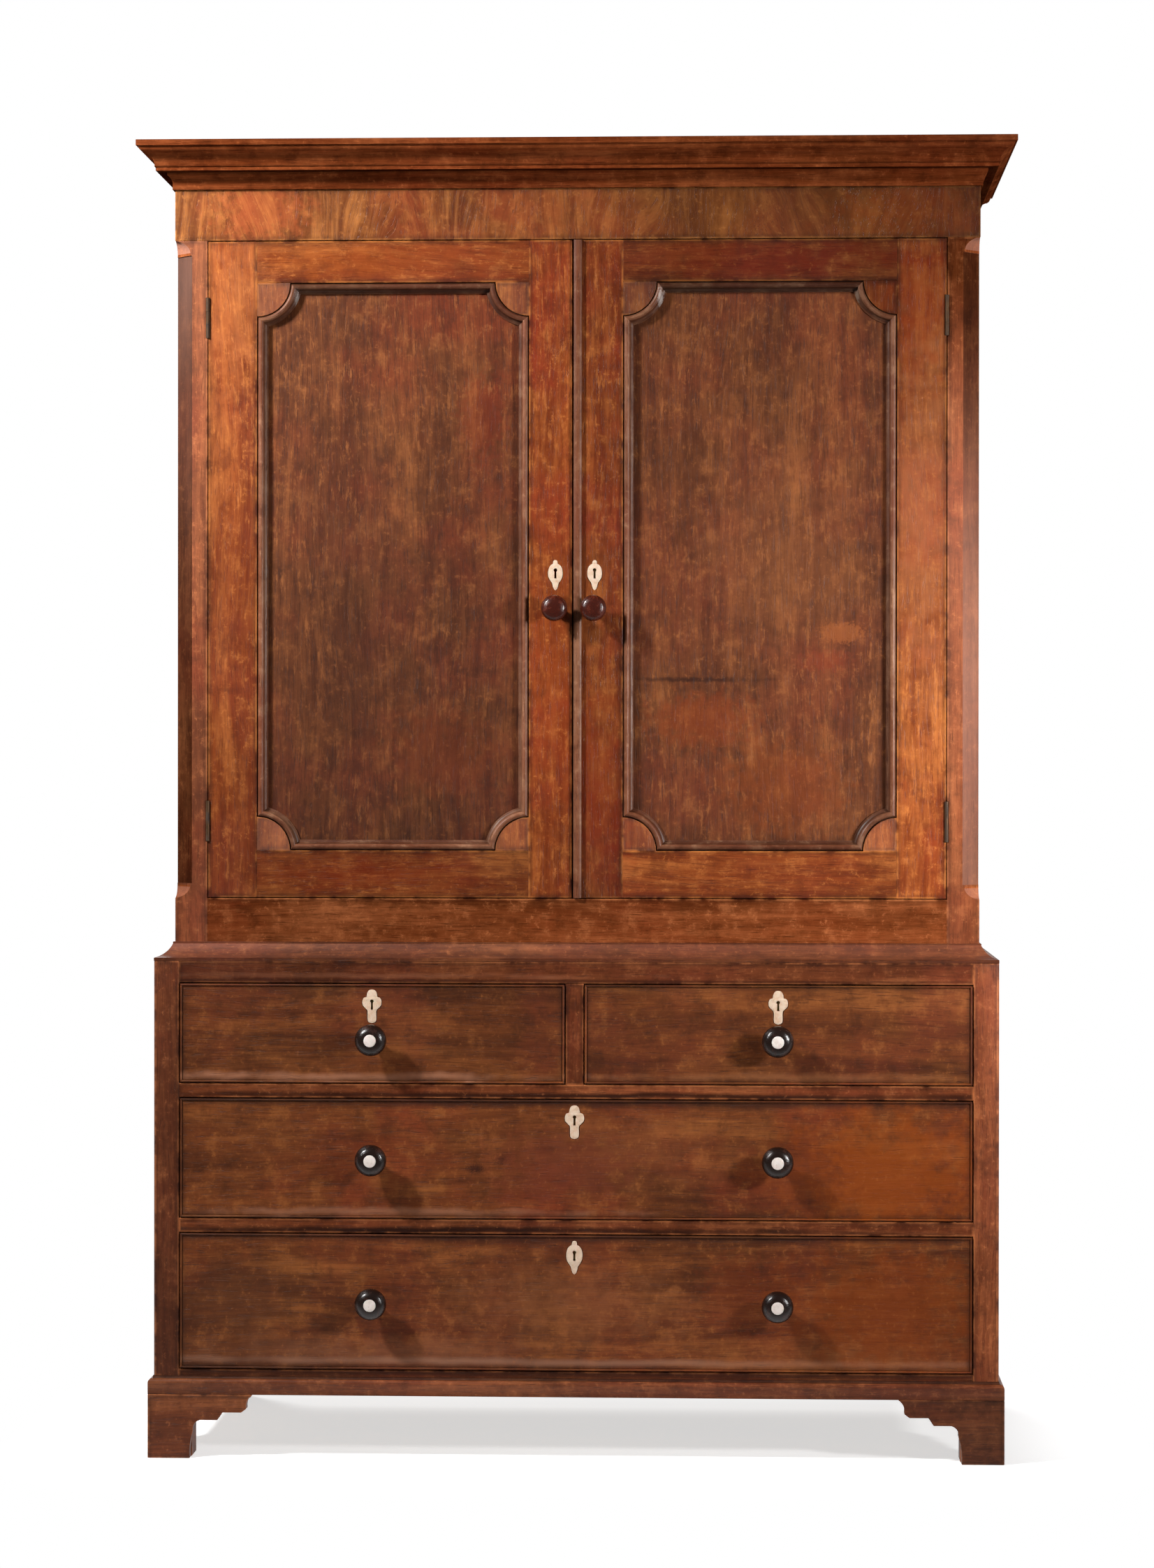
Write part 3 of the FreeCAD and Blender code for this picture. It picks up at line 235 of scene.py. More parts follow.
def mahogany(name, look, marks):
    paint = Paint(name, {"Specular IOR Level": look["gloss"]})
    grain = paint.attribute("grain")
    # board holds the tone, which also paints the lamps' light and shade, and the painted sheen; rim holds
    # wear and the painted shade and glare of a face
    tone, warmth, paintedSheen = paint.parts(paint.attribute("board"))
    wear, shade, glare = paint.parts(paint.attribute("rim"))
    place = paint.place()
    edge = edgeDistance(paint, place)

    # the grain wanders a little, and its figure is stretched along the board
    reach = (0, look["wander"], look["wander"])
    grain = paint.vector("ADD", grain, paint.stray(grain, (1.6, 6, 6), reach))
    height, slant = look["fan"]
    if slant:
        lean = (paint.noise(place, (5, 0, 0), 2) - 0.5) * slant * 4 * (paint.parts(place)[2] - height)
        grain = paint.vector("ADD", grain, paint.point(0, lean))
    ribbons = paint.noise(grain, (0.9, 16, 16), 3, 0.55).between(0.36, 0.66)
    glow = paint.noise(grain, (3, 15, 15), 3, 0.6).between(0.5, 0.66)
    streaks = paint.noise(grain, (3.6, 75, 75), 5, 0.65).between(0.36, 0.7)
    fibres = paint.noise(grain, (22, 460, 460), 2, 0.6)
    pores = paint.noise(grain, (34, 620, 620), 2).between(0.6, 0.72)
    flecks = paint.noise(grain, (26, 110, 110), 4, 0.75).between(0.53, 0.7)
    dashes = paint.noise(grain, (15, 80, 80), 4, 0.7).between(0.5, 0.66)
    clouds = paint.noise(place, 5.5, 4, 0.6).between(0.42, 0.68)
    patches = paint.noise(place, 2.1, 2).between(0.35, 0.65)
    mottle = paint.noise(place, 30, 5, 0.7)
    specks = paint.noise(place, 120, 4, 0.75).between(0.58, 0.7)
    dust = paint.noise(place, 13, 3, 0.6).between(0.35, 0.6)
    rubbed = paint.noise(place, 30, 3, 0.6).between(0.38, 0.6)

    deep, middle, light, red = (tint(*look[key]) for key in ("deep", "middle", "light", "red"))
    colour = paint.mixed(deep, middle, ribbons * look["ribbons"] + (1 - look["ribbons"]))
    wear = (wear + (1 - edge.between(0.0012, 0.0036)) * 0.7) * rubbed
    # painted shade in the joints and near the edges, where less light reaches, with some grime, broken up by
    # dust
    grime = (1 - edge.between(*look["grime"])) * (0.4 + 0.6 * dust)
    colour = paint.coated(colour, [
        (light, glow * look["glow"]),
        (light, streaks * (0.2 + 0.3 * patches) * look["streaks"]),
        (deep, (1 - streaks) * 0.45 * look["streaks"]),
        (red, clouds * look["clouds"] * (0.35 + warmth)),
        (light, mottle.between(0.5, 0.7) * 0.5 * look["mottle"]),
        (deep, (1 - mottle.between(0.32, 0.5)) * 0.7 * look["mottle"]),
        (light, flecks * look["flecks"] * (0.3 + 0.6 * patches)),
        (deep, dashes * look["flecks"] * 0.6),
        (deep, pores * 0.5),
        (deep, (0.5 - fibres).between(0, 0.25) * look["fibres"]),
        *[(tint(*mark[-1]), markShape(paint, place, mark, look["face"])) for mark in marks],
        (light, specks * 0.5 * look["wear"]),
        # dark brown for the painted shade and grime near the edges
        (tint(30, 13, 7), grime * look["dirt"]),
        (light, wear * look["wear"]),
    ])
    # the tone and the painted shade lighten or darken the colour where the light falls more or less
    colour = paint.mixed(colour, tone * (1 + shade), 1, "MULTIPLY")
    # painted reflection: glare and painted sheen wash the colour towards a pale pink, as if the lamps and
    # the pale room showed in the polish
    colour = paint.mixed(colour, tint(176, 132, 116), (glare + paintedSheen) * (0.6 + 0.4 * ribbons))

    normal = paint.bump(0.5 * fibres + 0.25 * streaks - 0.6 * pores, 0.0004)
    roughness = look["rough"] + 0.12 * fibres + 0.1 * clouds - 0.06 * wear
    return paint.finish(colour, roughness, normal)


def edgeDistance(paint, place):
    # How far a spot on the face of a board lies from the nearest edge of that face
    offset = paint.vector("ABSOLUTE", paint.vector("SUBTRACT", place, paint.attribute("middle")))
    x, y, z = paint.parts(paint.vector("SUBTRACT", paint.attribute("half"), offset))
    low, high = x.maths("MINIMUM", x, y), x.maths("MAXIMUM", x, y)
    return low.maths("MAXIMUM", low, high.maths("MINIMUM", high, z))


def markShape(paint, place, mark, face):
    # A stain, a patch of colour, a painted shadow or a painted highlight: an oval with a ragged edge, no
    # deeper than the wood's front
    x, z, wide, high, strength, soft, _ = mark
    y, deep = face
    ragged = paint.stray(place, 9 / max(wide, high), (1.6 * wide, 0, 1.6 * high), 3, 0.6)
    near = paint.vector("ADD", paint.vector("SUBTRACT", place, (x, y, z)), ragged)
    near = paint.length(paint.vector("MULTIPLY", near, (1 / wide, 1 / deep, 1 / high)))
    return (1 - near.between(soft, 1)) * strength


plainWoods = {
    "oak": {"deep": (118, 88, 56), "middle": (152, 118, 78), "light": (178, 146, 102),
            "rough": 0.72, "bump": 0.0006},
    "pine": {"deep": (98, 68, 40), "middle": (136, 98, 60), "light": (160, 122, 80),
             "rough": 0.75, "bump": 0.0005},
}


def plainWood(name, look):
    # Unpolished wood of the inside and the back: rings in wide bands, and dust in the pores
    paint = Paint(name, {"Specular IOR Level": 0.2})
    grain = paint.attribute("grain")
    tone = paint.parts(paint.attribute("board"))[0]
    grain = paint.vector("ADD", grain, paint.stray(grain, (0.8, 5, 5), (0, 0.08, 0.08)))
    rings = paint.noise(grain, (0.7, 38, 38)).between(0.35, 0.65)
    fibres = paint.noise(grain, (16, 380, 380), 3, 0.6)
    rays = paint.noise(grain, (40, 90, 600), 2).between(0.58, 0.7)
    stains = paint.noise(paint.place(), 4, 3, 0.6).between(0.45, 0.7)
    deep, middle, light = (tint(*look[key]) for key in ("deep", "middle", "light"))
    colour = paint.mixed(deep, middle, rings * 0.8 + 0.2)
    colour = paint.coated(colour, [
        (light, fibres.between(0.45, 0.75) * 0.5),
        (light, rays * 0.3),
        (deep, stains * 0.5),
    ])
    colour = paint.mixed(colour, tone, 1, "MULTIPLY")
    normal = paint.bump(0.6 * fibres + 0.4 * rings, look["bump"])
    return paint.finish(colour, look["rough"] + 0.1 * fibres, normal)


def ebonised(name, black, brown):
    # Black stain rubbed through to brown here and there, under old polish
    paint = Paint(name, {"Specular IOR Level": 0.5})
    place = paint.place()
    rubbed = paint.noise(place, 60, 4, 0.65).between(0.5, 0.75)
    fibres = paint.noise(place, (300, 60, 900), 3, 0.6)
    colour = paint.mixed(tint(*black), tint(*brown), rubbed * 0.6)
    colour = paint.mixed(colour, tint(18, 10, 8), fibres.between(0.5, 0.7) * 0.5)
    return paint.finish(colour, 0.2 + 0.14 * rubbed + 0.08 * fibres, paint.bump(fibres, 0.0002))


def boneFinish(name, pale, yellow):
    # Polished bone: ivory, yellowed in clouds, with fine brown pits
    fixed = {"Subsurface Weight": 0.1, "Subsurface Scale": 0.002, "Specular IOR Level": 0.45}
    paint = Paint(name, fixed)
    place = paint.place()
    yellowed = paint.noise(place, 130, 3, 0.6).between(0.4, 0.7)
    pits = paint.noise(place, (1500, 1500, 420), 2).between(0.62, 0.72)
    colour = paint.mixed(tint(*pale), tint(*yellow), yellowed * 0.6)
    colour = paint.mixed(colour, tint(140, 112, 80), pits * 0.5)
    return paint.finish(colour, 0.34 + 0.15 * pits, paint.bump(1 - pits, 0.00015))


def metal(name, bright, dull, crust, rough):
    # Old iron or brass: worn bright where it rubs, dull and stained elsewhere
    paint = Paint(name)
    place = paint.place()
    stained = paint.noise(place, 70, 4, 0.65).between(0.4, 0.7)
    scratched = paint.noise(place, (900, 900, 60), 3, 0.6)
    colour = paint.mixed(tint(*bright), tint(*dull), stained * 0.85)
    colour = paint.mixed(colour, tint(*dull), scratched.between(0.5, 0.7) * 0.3)
    roughness = rough + 0.22 * stained + 0.08 * scratched
    normal = paint.bump(stained * 0.6 + scratched * 0.4, 0.0002)
    return paint.finish(colour, roughness, normal, 1 - stained * crust)


# Marks on the fronts, in metres: across, up, half the width, half the height, strength,
# the share of the oval that is even, colour. Some are stains and patches of colour, others paint light and
# shade, as noted.
marks = {
    "panel": [
        (0.184, 1.16, 0.13, 0.0055, 0.8, 0.1, (52, 22, 12)),
        (0.19, 1.1, 0.11, 0.055, 0.55, 0.3, (144, 58, 14)),
        (0.31, 1.0, 0.13, 0.1, 0.4, 0.3, (152, 68, 14)),
        (0.397, 1.23, 0.042, 0.02, 0.6, 0.5, (176, 96, 44)),
        (0.37, 1.188, 0.05, 0.022, 0.5, 0.3, (150, 56, 24)),
        (-0.2, 1.05, 0.12, 0.09, 0.35, 0.3, (146, 60, 22)),
        (-0.14, 1.55, 0.05, 0.09, 0.35, 0.3, (146, 48, 20)),
        (-0.3, 1.3, 0.13, 0.3, 0.3, 0.3, (74, 36, 20)),
        # painted light: a lighter patch where the lamp's light falls strongest on the right panel
        (0.3, 1.34, 0.2, 0.24, 0.25, 0, (176, 104, 62)),
    ],
    "moulding": [  # glints
        (-0.4175, 1.727, 0.0055, 0.02, 0.8, 0.2, (255, 236, 226)),
        (0.126, 1.727, 0.0055, 0.02, 0.8, 0.2, (255, 236, 226)),
        (0.418, 1.73, 0.005, 0.018, 0.6, 0.2, (240, 200, 170)),
    ],
    "door": [
        # soft blobs of colour that also paint where the lamps' light falls stronger or weaker along the
        # stiles and rails
        (-0.515, 1.36, 0.09, 0.3, 0.35, 0, (128, 54, 26)),
        (0.515, 1.42, 0.1, 0.4, 0.35, 0, (222, 140, 88)),
        (-0.515, 1.72, 0.09, 0.2, 0.3, 0, (226, 136, 76)),
        (-0.02, 1.1, 0.08, 0.26, 0.3, 0, (170, 66, 18)),
        (0.3, 1.785, 0.3, 0.04, 0.6, 0, (152, 38, 0)),
        (-0.3, 1.785, 0.3, 0.04, 0.4, 0, (184, 84, 18)),
        (0.04, 1.0, 0.06, 0.22, 0.5, 0, (160, 44, 4)),
        (0.515, 1.72, 0.09, 0.16, 0.5, 0, (168, 54, 4)),
        (-0.3, 0.87, 0.26, 0.04, 0.5, 0, (148, 44, 2)),
    ],
    "veneer": [
        (0.3, 1.854, 0.3, 0.09, 0.35, 0.3, (122, 64, 16)),
        (-0.47, 1.86, 0.1, 0.06, 0.35, 0.3, (206, 100, 52)),
        (0.5, 1.854, 0.16, 0.08, 0.4, 0, (176, 66, 0)),
    ],
    "drawer": [
        # painted highlights: light strips along the lower edges of the drawers
        (-0.35, 0.5685, 0.45, 0.01, 0.8, 0, (166, 112, 84)),
        (0.3, 0.5695, 0.36, 0.01, 0.5, 0, (146, 92, 56)),
        (-0.3, 0.3675, 0.5, 0.01, 0.65, 0, (148, 98, 72)),
        (-0.3, 0.16, 0.4, 0.035, 0.4, 0, (132, 84, 56)),
        (0, 0.235, 0.26, 0.09, 0.4, 0, (148, 88, 50)),
        (0.08, 0.46, 0.2, 0.09, 0.3, 0, (148, 84, 46)),
        # painted highlight along the lower edge of the bottom drawer
        (0, 0.1465, 1.2, 0.009, 0.7, 0, (140, 98, 76)),
        (0.4, 0.152, 0.26, 0.03, 0.4, 0, (152, 86, 42)),
        # painted shadow along the tops of the lower drawers and beside the drawers
        (0, 0.531, 1.2, 0.012, 0.75, 0, (52, 24, 12)),
        (0, 0.33, 1.2, 0.012, 0.75, 0, (50, 22, 12)),
        (-0.589, 0.4, 0.008, 0.9, 0.5, 0, (56, 24, 12)),
        (0.588, 0.4, 0.012, 0.9, 0.6, 0, (78, 32, 8)),
        (0.46, 0.43, 0.2, 0.12, 0.6, 0.3, (140, 62, 2)),
        (0.46, 0.23, 0.2, 0.12, 0.6, 0.3, (120, 50, 2)),
        (-0.147, 0.432, 0.019, 0.011, 0.85, 0.1, (38, 16, 9)),
        (-0.107, 0.446, 0.02, 0.012, 0.8, 0.1, (42, 18, 10)),
        (-0.02, 0.44, 0.15, 0.07, 0.45, 0.3, (106, 46, 28)),
        (0.4, 0.42, 0.16, 0.07, 0.4, 0.3, (134, 62, 18)),
        (0.24, 0.25, 0.07, 0.08, 0.45, 0.3, (106, 42, 14)),
        (0.33, 0.43, 0.1, 0.09, 0.4, 0.3, (88, 34, 14)),
        (-0.5, 0.24, 0.1, 0.08, 0.3, 0.3, (92, 52, 28)),
    ],
    "rail": [
        # painted shadow along the lower edges of the rails, above the drawers
        (0, 0.5418, 1.2, 0.0075, 0.92, 0.1, (40, 14, 4)),
        (-0.2, 0.3418, 0.9, 0.0085, 0.95, 0.1, (32, 10, 3)),
        (0, 0.7114, 1.2, 0.004, 0.6, 0.1, (70, 28, 10)),
        (-0.3, 0.7187, 0.5, 0.006, 0.4, 0, (160, 100, 70)),
        # painted shadow on the bottom rail, just above the base moulding
        (0, 0.129, 1.2, 0.008, 0.7, 0.2, (70, 32, 16)),
    ],
}
finishNames = {
    "case": "oldMahoganyCase", "post": "oldMahoganyPost", "rail": "oldMahoganyRail",
    "door": "oldMahoganyDoor", "panel": "oldMahoganyPanel", "moulding": "polishedMoulding",
    "crown": "oldMahoganyCrown", "drawer": "oldMahoganyDrawer", "veneer": "crossbandedVeneer",
}
woods = {key: mahogany(name, mahoganyLooks[key], marks.get(key, [])) for key, name in finishNames.items()}
woods["oak"] = plainWood("dryOak", plainWoods["oak"])
woods["pine"] = plainWood("stainedPine", plainWoods["pine"])
slots = {"post": "case", "rail": "case", "crown": "case", "moulding": "door"}  # the others have their own
ebony = {
    "drawer": ebonised("ebonisedPolish", (28, 15, 10), (72, 38, 27)),
    "door": ebonised("handledPolish", (58, 18, 9), (122, 50, 28)),
}
bone = boneFinish("polishedBone", (212, 188, 165), (194, 156, 126))
discBone = boneFinish("whiteBone", (230, 218, 210), (208, 194, 184))
metals = {
    "iron": metal("rubbedIron", bright=(88, 66, 48), dull=(44, 28, 18), crust=0.9, rough=0.5),
    "brass": metal("dullBrass", bright=(196, 160, 96), dull=(120, 88, 44), crust=0.35, rough=0.3),
}
print("finishes mixed")


def placed(name, data):
    made = bpy.data.objects.new(name, data)
    bpy.context.collection.objects.link(made)
    return made


def ride(mesh, body, slot, *replaced, name=None):
    # A piece has the name of the node it replaces, unless it is given another
    mesh.name = name or camel(replaced[0])
    made = placed(mesh.name, mesh)
    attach(made, body)
    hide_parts(*replaced)


def camel(node):
    first, *rest = node.split("_")
    return first + "".join(word.capitalize() for word in rest)


def store(mesh, label, values, domain="POINT"):
    mesh.attributes.new(label, "FLOAT_VECTOR", domain).data.foreach_set("vector", values)


def creased(mesh, degrees):
    # Smooth, apart from the edges where its faces meet at more than so many degrees
    mesh.shade_smooth()
    mesh.set_sharp_from_angle(angle=math.radians(degrees))
    return mesh


def extent(places):
    # The lowest and the highest corner of the box round these places
    return [[pick(place[i] for place in places) for i in range(3)] for pick in (min, max)]


class Stock:
    # The boards of one piece, gathered before they become its mesh.
    def __init__(self):
        self.corners, self.faces, self.rim = [], [], []
        self.rows = {"grain": [], "board": [], "middle": [], "half": []}

    def take(self, bm, grainAt, boardAt, box=((-9,) * 3, (9,) * 3)):
        start = len(self.corners)
        bm.verts.index_update()
        layers = [bm.faces.layers.float.get(name) for name in ("rim", "shade", "glare")]
        middle = [(low + high) / 2 for low, high in zip(*box)]
        half = [(high - low) / 2 for low, high in zip(*box)]
        for vert in bm.verts:
            self.corners.append(vert.co[:])
            for row, vector in zip(self.rows.values(), (grainAt(vert.co), boardAt(vert.co), middle, half)):
                row.extend(vector)
        for face in bm.faces:
            self.faces.append([start + vert.index for vert in face.verts])
            self.rim.extend(face[layer] if layer else 0 for layer in layers)
        bm.free()

    def piece(self, node, wood, body, crease=32, name=None):
        mesh = bpy.data.meshes.new(node)
        mesh.from_pydata(self.corners, [], self.faces)
        for label, row in self.rows.items():
            store(mesh, label, row)
        store(mesh, "rim", self.rim, "FACE")
        mesh.materials.append(woods[wood])
        ride(creased(mesh, crease), body, slots.get(wood, wood) + "_wood", node, name=name)


def solidsOf(node):
    # A CAD node's triangles come solid after solid: one ends where no edge is left open.
    mesh = nodes[node].data
    places = [tuple(round(x, 6) for x in vert.co) for vert in mesh.vertices]
    solid, unmatched = [], set()
    for polygon in mesh.polygons:
        corners = [places[i] for i in polygon.vertices]
        if len(set(corners)) < 3:
            continue
        solid.append(corners)
        for edge in zip(corners, corners[1:] + corners[:1]):
            if edge[::-1] in unmatched:
                unmatched.discard(edge[::-1])
            else:
                unmatched.add(edge)
        if not unmatched:
            yield solid
            solid = []


def merged(solid):
    # A solid's triangles as one skin, with the lines across its flat faces taken out
    bm = bmesh.new()
    verts = {}
    for corners in solid:
        for corner in corners:
            if corner not in verts:
                verts[corner] = bm.verts.new(corner)
        loop = [verts[corner] for corner in corners]
        if not bm.faces.get(loop):
            bm.faces.new(loop)
    flat = math.radians(0.6)
    bmesh.ops.dissolve_limit(bm, angle_limit=flat, verts=bm.verts[:], edges=bm.edges[:])
    return bm


def easeEdges(bm, width):
    # The sharp edges are eased, and the new narrow faces are worn.
    worn = bm.faces.layers.float.new("rim")
    if width:
        sharp, shortest = 0.5, 3 * width
        edges = [e for e in bm.edges if e.calc_face_angle(0) > sharp and e.calc_length() > shortest]
        options = {"segments": 1, "profile": 0.5, "affect": "EDGES", "clamp_overlap": True}
        for face in bmesh.ops.bevel(bm, geom=edges, offset=width, **options)["faces"]:
            face[worn] = 1
    return bm


def takeBoard(stock, bm, tones, dice, axis=None, fade=None, shine=lambda co: (1, 0), warmth=None):
    # The grain runs along its longest side, or along the given axis. Its tone runs from one value to the
    # other that way, or along the axis named by fade; shine gives a spot's own share of it, a painted shade,
    # and its painted sheen.
    lows, highs = extent([vert.co for vert in bm.verts])
    order = sorted(range(3), key=lambda i: lows[i] - highs[i])
    if axis is not None:
        order.remove(axis)
        order.insert(0, axis)
    shift = [dice.uniform(0, 40) for _ in range(3)]
    first = order[0] if fade is None else fade
    span = max(highs[first] - lows[first], 1e-6)
    warmth = dice.random() if warmth is None else warmth
    low, high = tones if tones else [dice.uniform(0.93, 1.07)] * 2

    def grainAt(co):
        return tuple(co[i] + shift[k] for k, i in enumerate(order))

    def boardAt(co):
        share, paintedSheen = shine(co)
        return ((low + (high - low) * (co[first] - lows[first]) / span) * share, warmth, paintedSheen)

    stock.take(bm, grainAt, boardAt, (lows, highs))


def dress(node, wood, body, ease=0.0006, tones=None, leave=(), touch=None, **more):
    # One piece over a node: each solid is a board with its own grain, tone and worn edges. It comes as
    # its stock, to which more can be added, and the call that makes the piece of it.
    dice = random.Random(node)
    stock = Stock()
    for i, solid in enumerate(solidsOf(node)):
        if i not in leave:
            bm = easeEdges(merged(solid), ease)
            if touch:
                touch(bm)
            takeBoard(stock, bm, (tones or {}).get(i), dice, **more)
    return stock, lambda: stock.piece(node, wood, body)


def dressed(node, wood, body, **options):
    dress(node, wood, body, **options)[1]()


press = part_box("press_sides")
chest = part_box("chest_stiles")
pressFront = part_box("press_front_frame")[0].y
chestFront = chest[0].y
back = press[1].y

# The posts of the press: by height, the share of their tone, painted light and shade, and the painted sheen
# on their chamfer and on their front, and the painted (shade, glare) of the ends of the chamfer where they
# catch the light
posts = {
    "chamferWidth": 0.025,
    "frontWidth": 0.0483,
    "side": 0.62,  # the share on the side of the press
    "left": {
        "chamfer": [(0.9, 0.28, 0.01), (1.02, 0.3, 0.01), (1.2, 0.19, 0.025), (1.37, 0.23, 0.05),
                    (1.6, 0.24, 0.14), (1.76, 0.12, 0.3)],
        "front": [(0.9, 0.76, 0.08), (1.37, 1, 0.14), (1.76, 0.98, 0.18)],
        "topStop": (0.2, 0.6), "lowStop": (0, 0.25)},
    "right": {
        "chamfer": [(0.9, 0.46, 0.32), (1.17, 0.56, 0.42), (1.37, 0.44, 0.3), (1.56, 0.28, 0.09),
                    (1.66, 0.22, 0.03), (1.76, 0.26, 0.01)],
        "front": [(0.9, 0.8, 0.06), (1.17, 0.98, 0.12), (1.37, 1.02, 0.2), (1.56, 0.92, 0.12),
                  (1.66, 0.7, 0.04), (1.76, 0.45, 0)],
        "topStop": (0, 0.4), "lowStop": (0, 0.3)},
}


def postShine(co):
    look = posts["left" if co.x < 0 else "right"]
    inset, depth = press[1].x - abs(co.x), co.y - pressFront
    flush, near = 2e-5, 0.0005
    if min(inset, depth) > flush and abs(inset + depth - posts["chamferWidth"]) < near:
        rows = look["chamfer"]
    elif depth < flush and inset < posts["frontWidth"]:
        rows = look["front"]
    else:
        return (posts["side"] if inset < flush else 1), 0
    height = min(max(co.z, rows[0][0]), rows[-1][0])
    for (low, share, paintedSheen), (high, nextShare, nextPaintedSheen) in zip(rows, rows[1:]):
        if height <= high:
            part = (height - low) / (high - low)
            return share + (nextShare - share) * part, paintedSheen + (nextPaintedSheen - paintedSheen) * part


def touchPosts(bm):
    # Cuts where the posts' painted light and shade bend, and gives the slanted ends of the chamfers their
    # painted shade and glare
    rows = [row for side in ("left", "right") for row in posts[side]["chamfer"] + posts[side]["front"]]
    for height in sorted({row[0] for row in rows}):
        whole = bm.verts[:] + bm.edges[:] + bm.faces[:]
        bmesh.ops.bisect_plane(bm, geom=whole, plane_co=(0, 0, height), plane_no=(0, 0, 1))
    shade, glare = (bm.faces.layers.float.new(name) for name in ("shade", "glare"))
    slant, rise, smallest, largest, outside, halfWay = 0.25, 0.1, 2e-6, 0.0015, 0.5, 1.3
    for face in bm.faces:
        spot, normal = face.calc_center_median(), face.normal
        slanted = abs(normal.x) > slant and normal.y < -slant and abs(normal.z) > rise
        if slanted and smallest < face.calc_area() < largest and abs(spot.x) > outside:
            look = posts["left" if spot.x < 0 else "right"]
            face[shade], face[glare] = look["topStop" if spot.z > halfWay else "lowStop"]


def drawTogether(bm, halfGap=0.0005, inner=0.5):
    # The boards of a back meet each other, so that no light comes between them
    (low, *_), (high, *_) = extent([vert.co for vert in bm.verts])
    for vert in bm.verts:
        outwards = 1 if 2 * vert.co.x > low + high else -1
        if abs(high if outwards > 0 else low) < inner:
            vert.co.x += outwards * halfGap


# Plain boards of the carcase: node, wood and options. The given tones also paint the lamps' light and shade,
# lighter where more light falls and darker where it falls off: the frieze, for one, darkens from left to
# right.
carcaseBoards = {
    "chest_sides": ("case", {"axis": 2}),
    "chest_stiles": ("case", {"ease": 0.0008, "tones": {0: (1.4, 1.65), 1: (0.76, 0.94)}}),
    "chest_rails": ("rail", {"ease": 0.0008, "tones": {
        0: (0.55, 0.65), 1: (0.95, 1.15), 2: (1.02, 1.12), 3: (0.42, 0.95), 4: (0.86, 0.86)}}),
    "bracket_feet": ("case", {"ease": 0.0007, "axis": 0, "tones": {0: (0.6, 0.56), 1: (1.04, 0.97)}}),
    "press_sides": ("case", {"axis": 2}),
    "press_front_frame": ("post", {
        "tones": {0: (1.5, 1.76), 1: (1.2, 1.6), 2: (0.76, 1.22)}, "touch": touchPosts, "shine": postShine}),
    "frieze": ("veneer", {"axis": 2, "fade": 0, "tones": {0: (0.98, 0.36)}}),
    "chest_boards": ("oak", {}),
    "drawer_runners": ("oak", {}),
    "press_boards": ("oak", {"axis": 0}),
    "shelves": ("oak", {"axis": 0}),
    "chest_back_boards": ("pine", {"axis": 2, "touch": drawTogether}),
    "press_back_boards": ("pine", {"axis": 2, "touch": drawTogether}),
    "cornice_core": ("pine", {}),
}
for node, (wood, options) in carcaseBoards.items():
    dressed(node, wood, "carcase", **options)
print("carcase boards dressed")


class Grower(NodeMaker):
    # A tree that grows a mesh from its named inputs.
    def __init__(self, name, **inputs):
        super().__init__(bpy.data.node_groups.new(name, "GeometryNodeTree"))
        for label, kind in inputs.items():
            self.tree.interface.new_socket(name=label, in_out="INPUT", socket_type="NodeSocket" + kind)
        self.tree.interface.new_socket(name="Grown", in_out="OUTPUT", socket_type="NodeSocketGeometry")
        outputs = self.node("NodeGroupInput").outputs
        self.given = [Value(self, outputs[i]) for i in range(len(inputs))]

    def meshOf(self, holder):
        return self.value("GeometryNodeObjectInfo", None, {"Object": holder}, "Geometry")

    def countOf(self, mesh):
        return self.value("GeometryNodeAttributeDomainSize", {"component": "MESH"}, {0: mesh})

    def gridOf(self, rows, columns):
        # A grid, and for each of its points the number of its row and of its column
        grid = self.value("GeometryNodeMeshGrid", None, {"Vertices X": rows, "Vertices Y": columns}, "Mesh")
        index = self.value("GeometryNodeInputIndex")
        row = index.maths("FLOOR", (index + 0.5) / columns)
        return grid, row, index - row * columns

    def sampled(self, source, number, label=None):
        # What the source's point with this number has under the label, or else its position
        vectors = {"data_type": "FLOAT_VECTOR"}
        if label:
            what = self.value("GeometryNodeInputNamedAttribute", vectors, {"Name": label})
        else:
            what = self.value("GeometryNodeInputPosition")
        return self.value("GeometryNodeSampleIndex", vectors, {0: source, "Value": what, "Index": number})

    def moved(self, mesh, position):
        return self.value("GeometryNodeSetPosition", None, {"Geometry": mesh, "Position": position})

    def finish(self, grown, material):
        real = self.value("GeometryNodeRealizeInstances", None, {"Geometry": grown})
        done = self.value("GeometryNodeSetMaterial", None, {"Geometry": real, "Material": material})
        self.node("NodeGroupOutput", None, {0: done})
        return self.tree


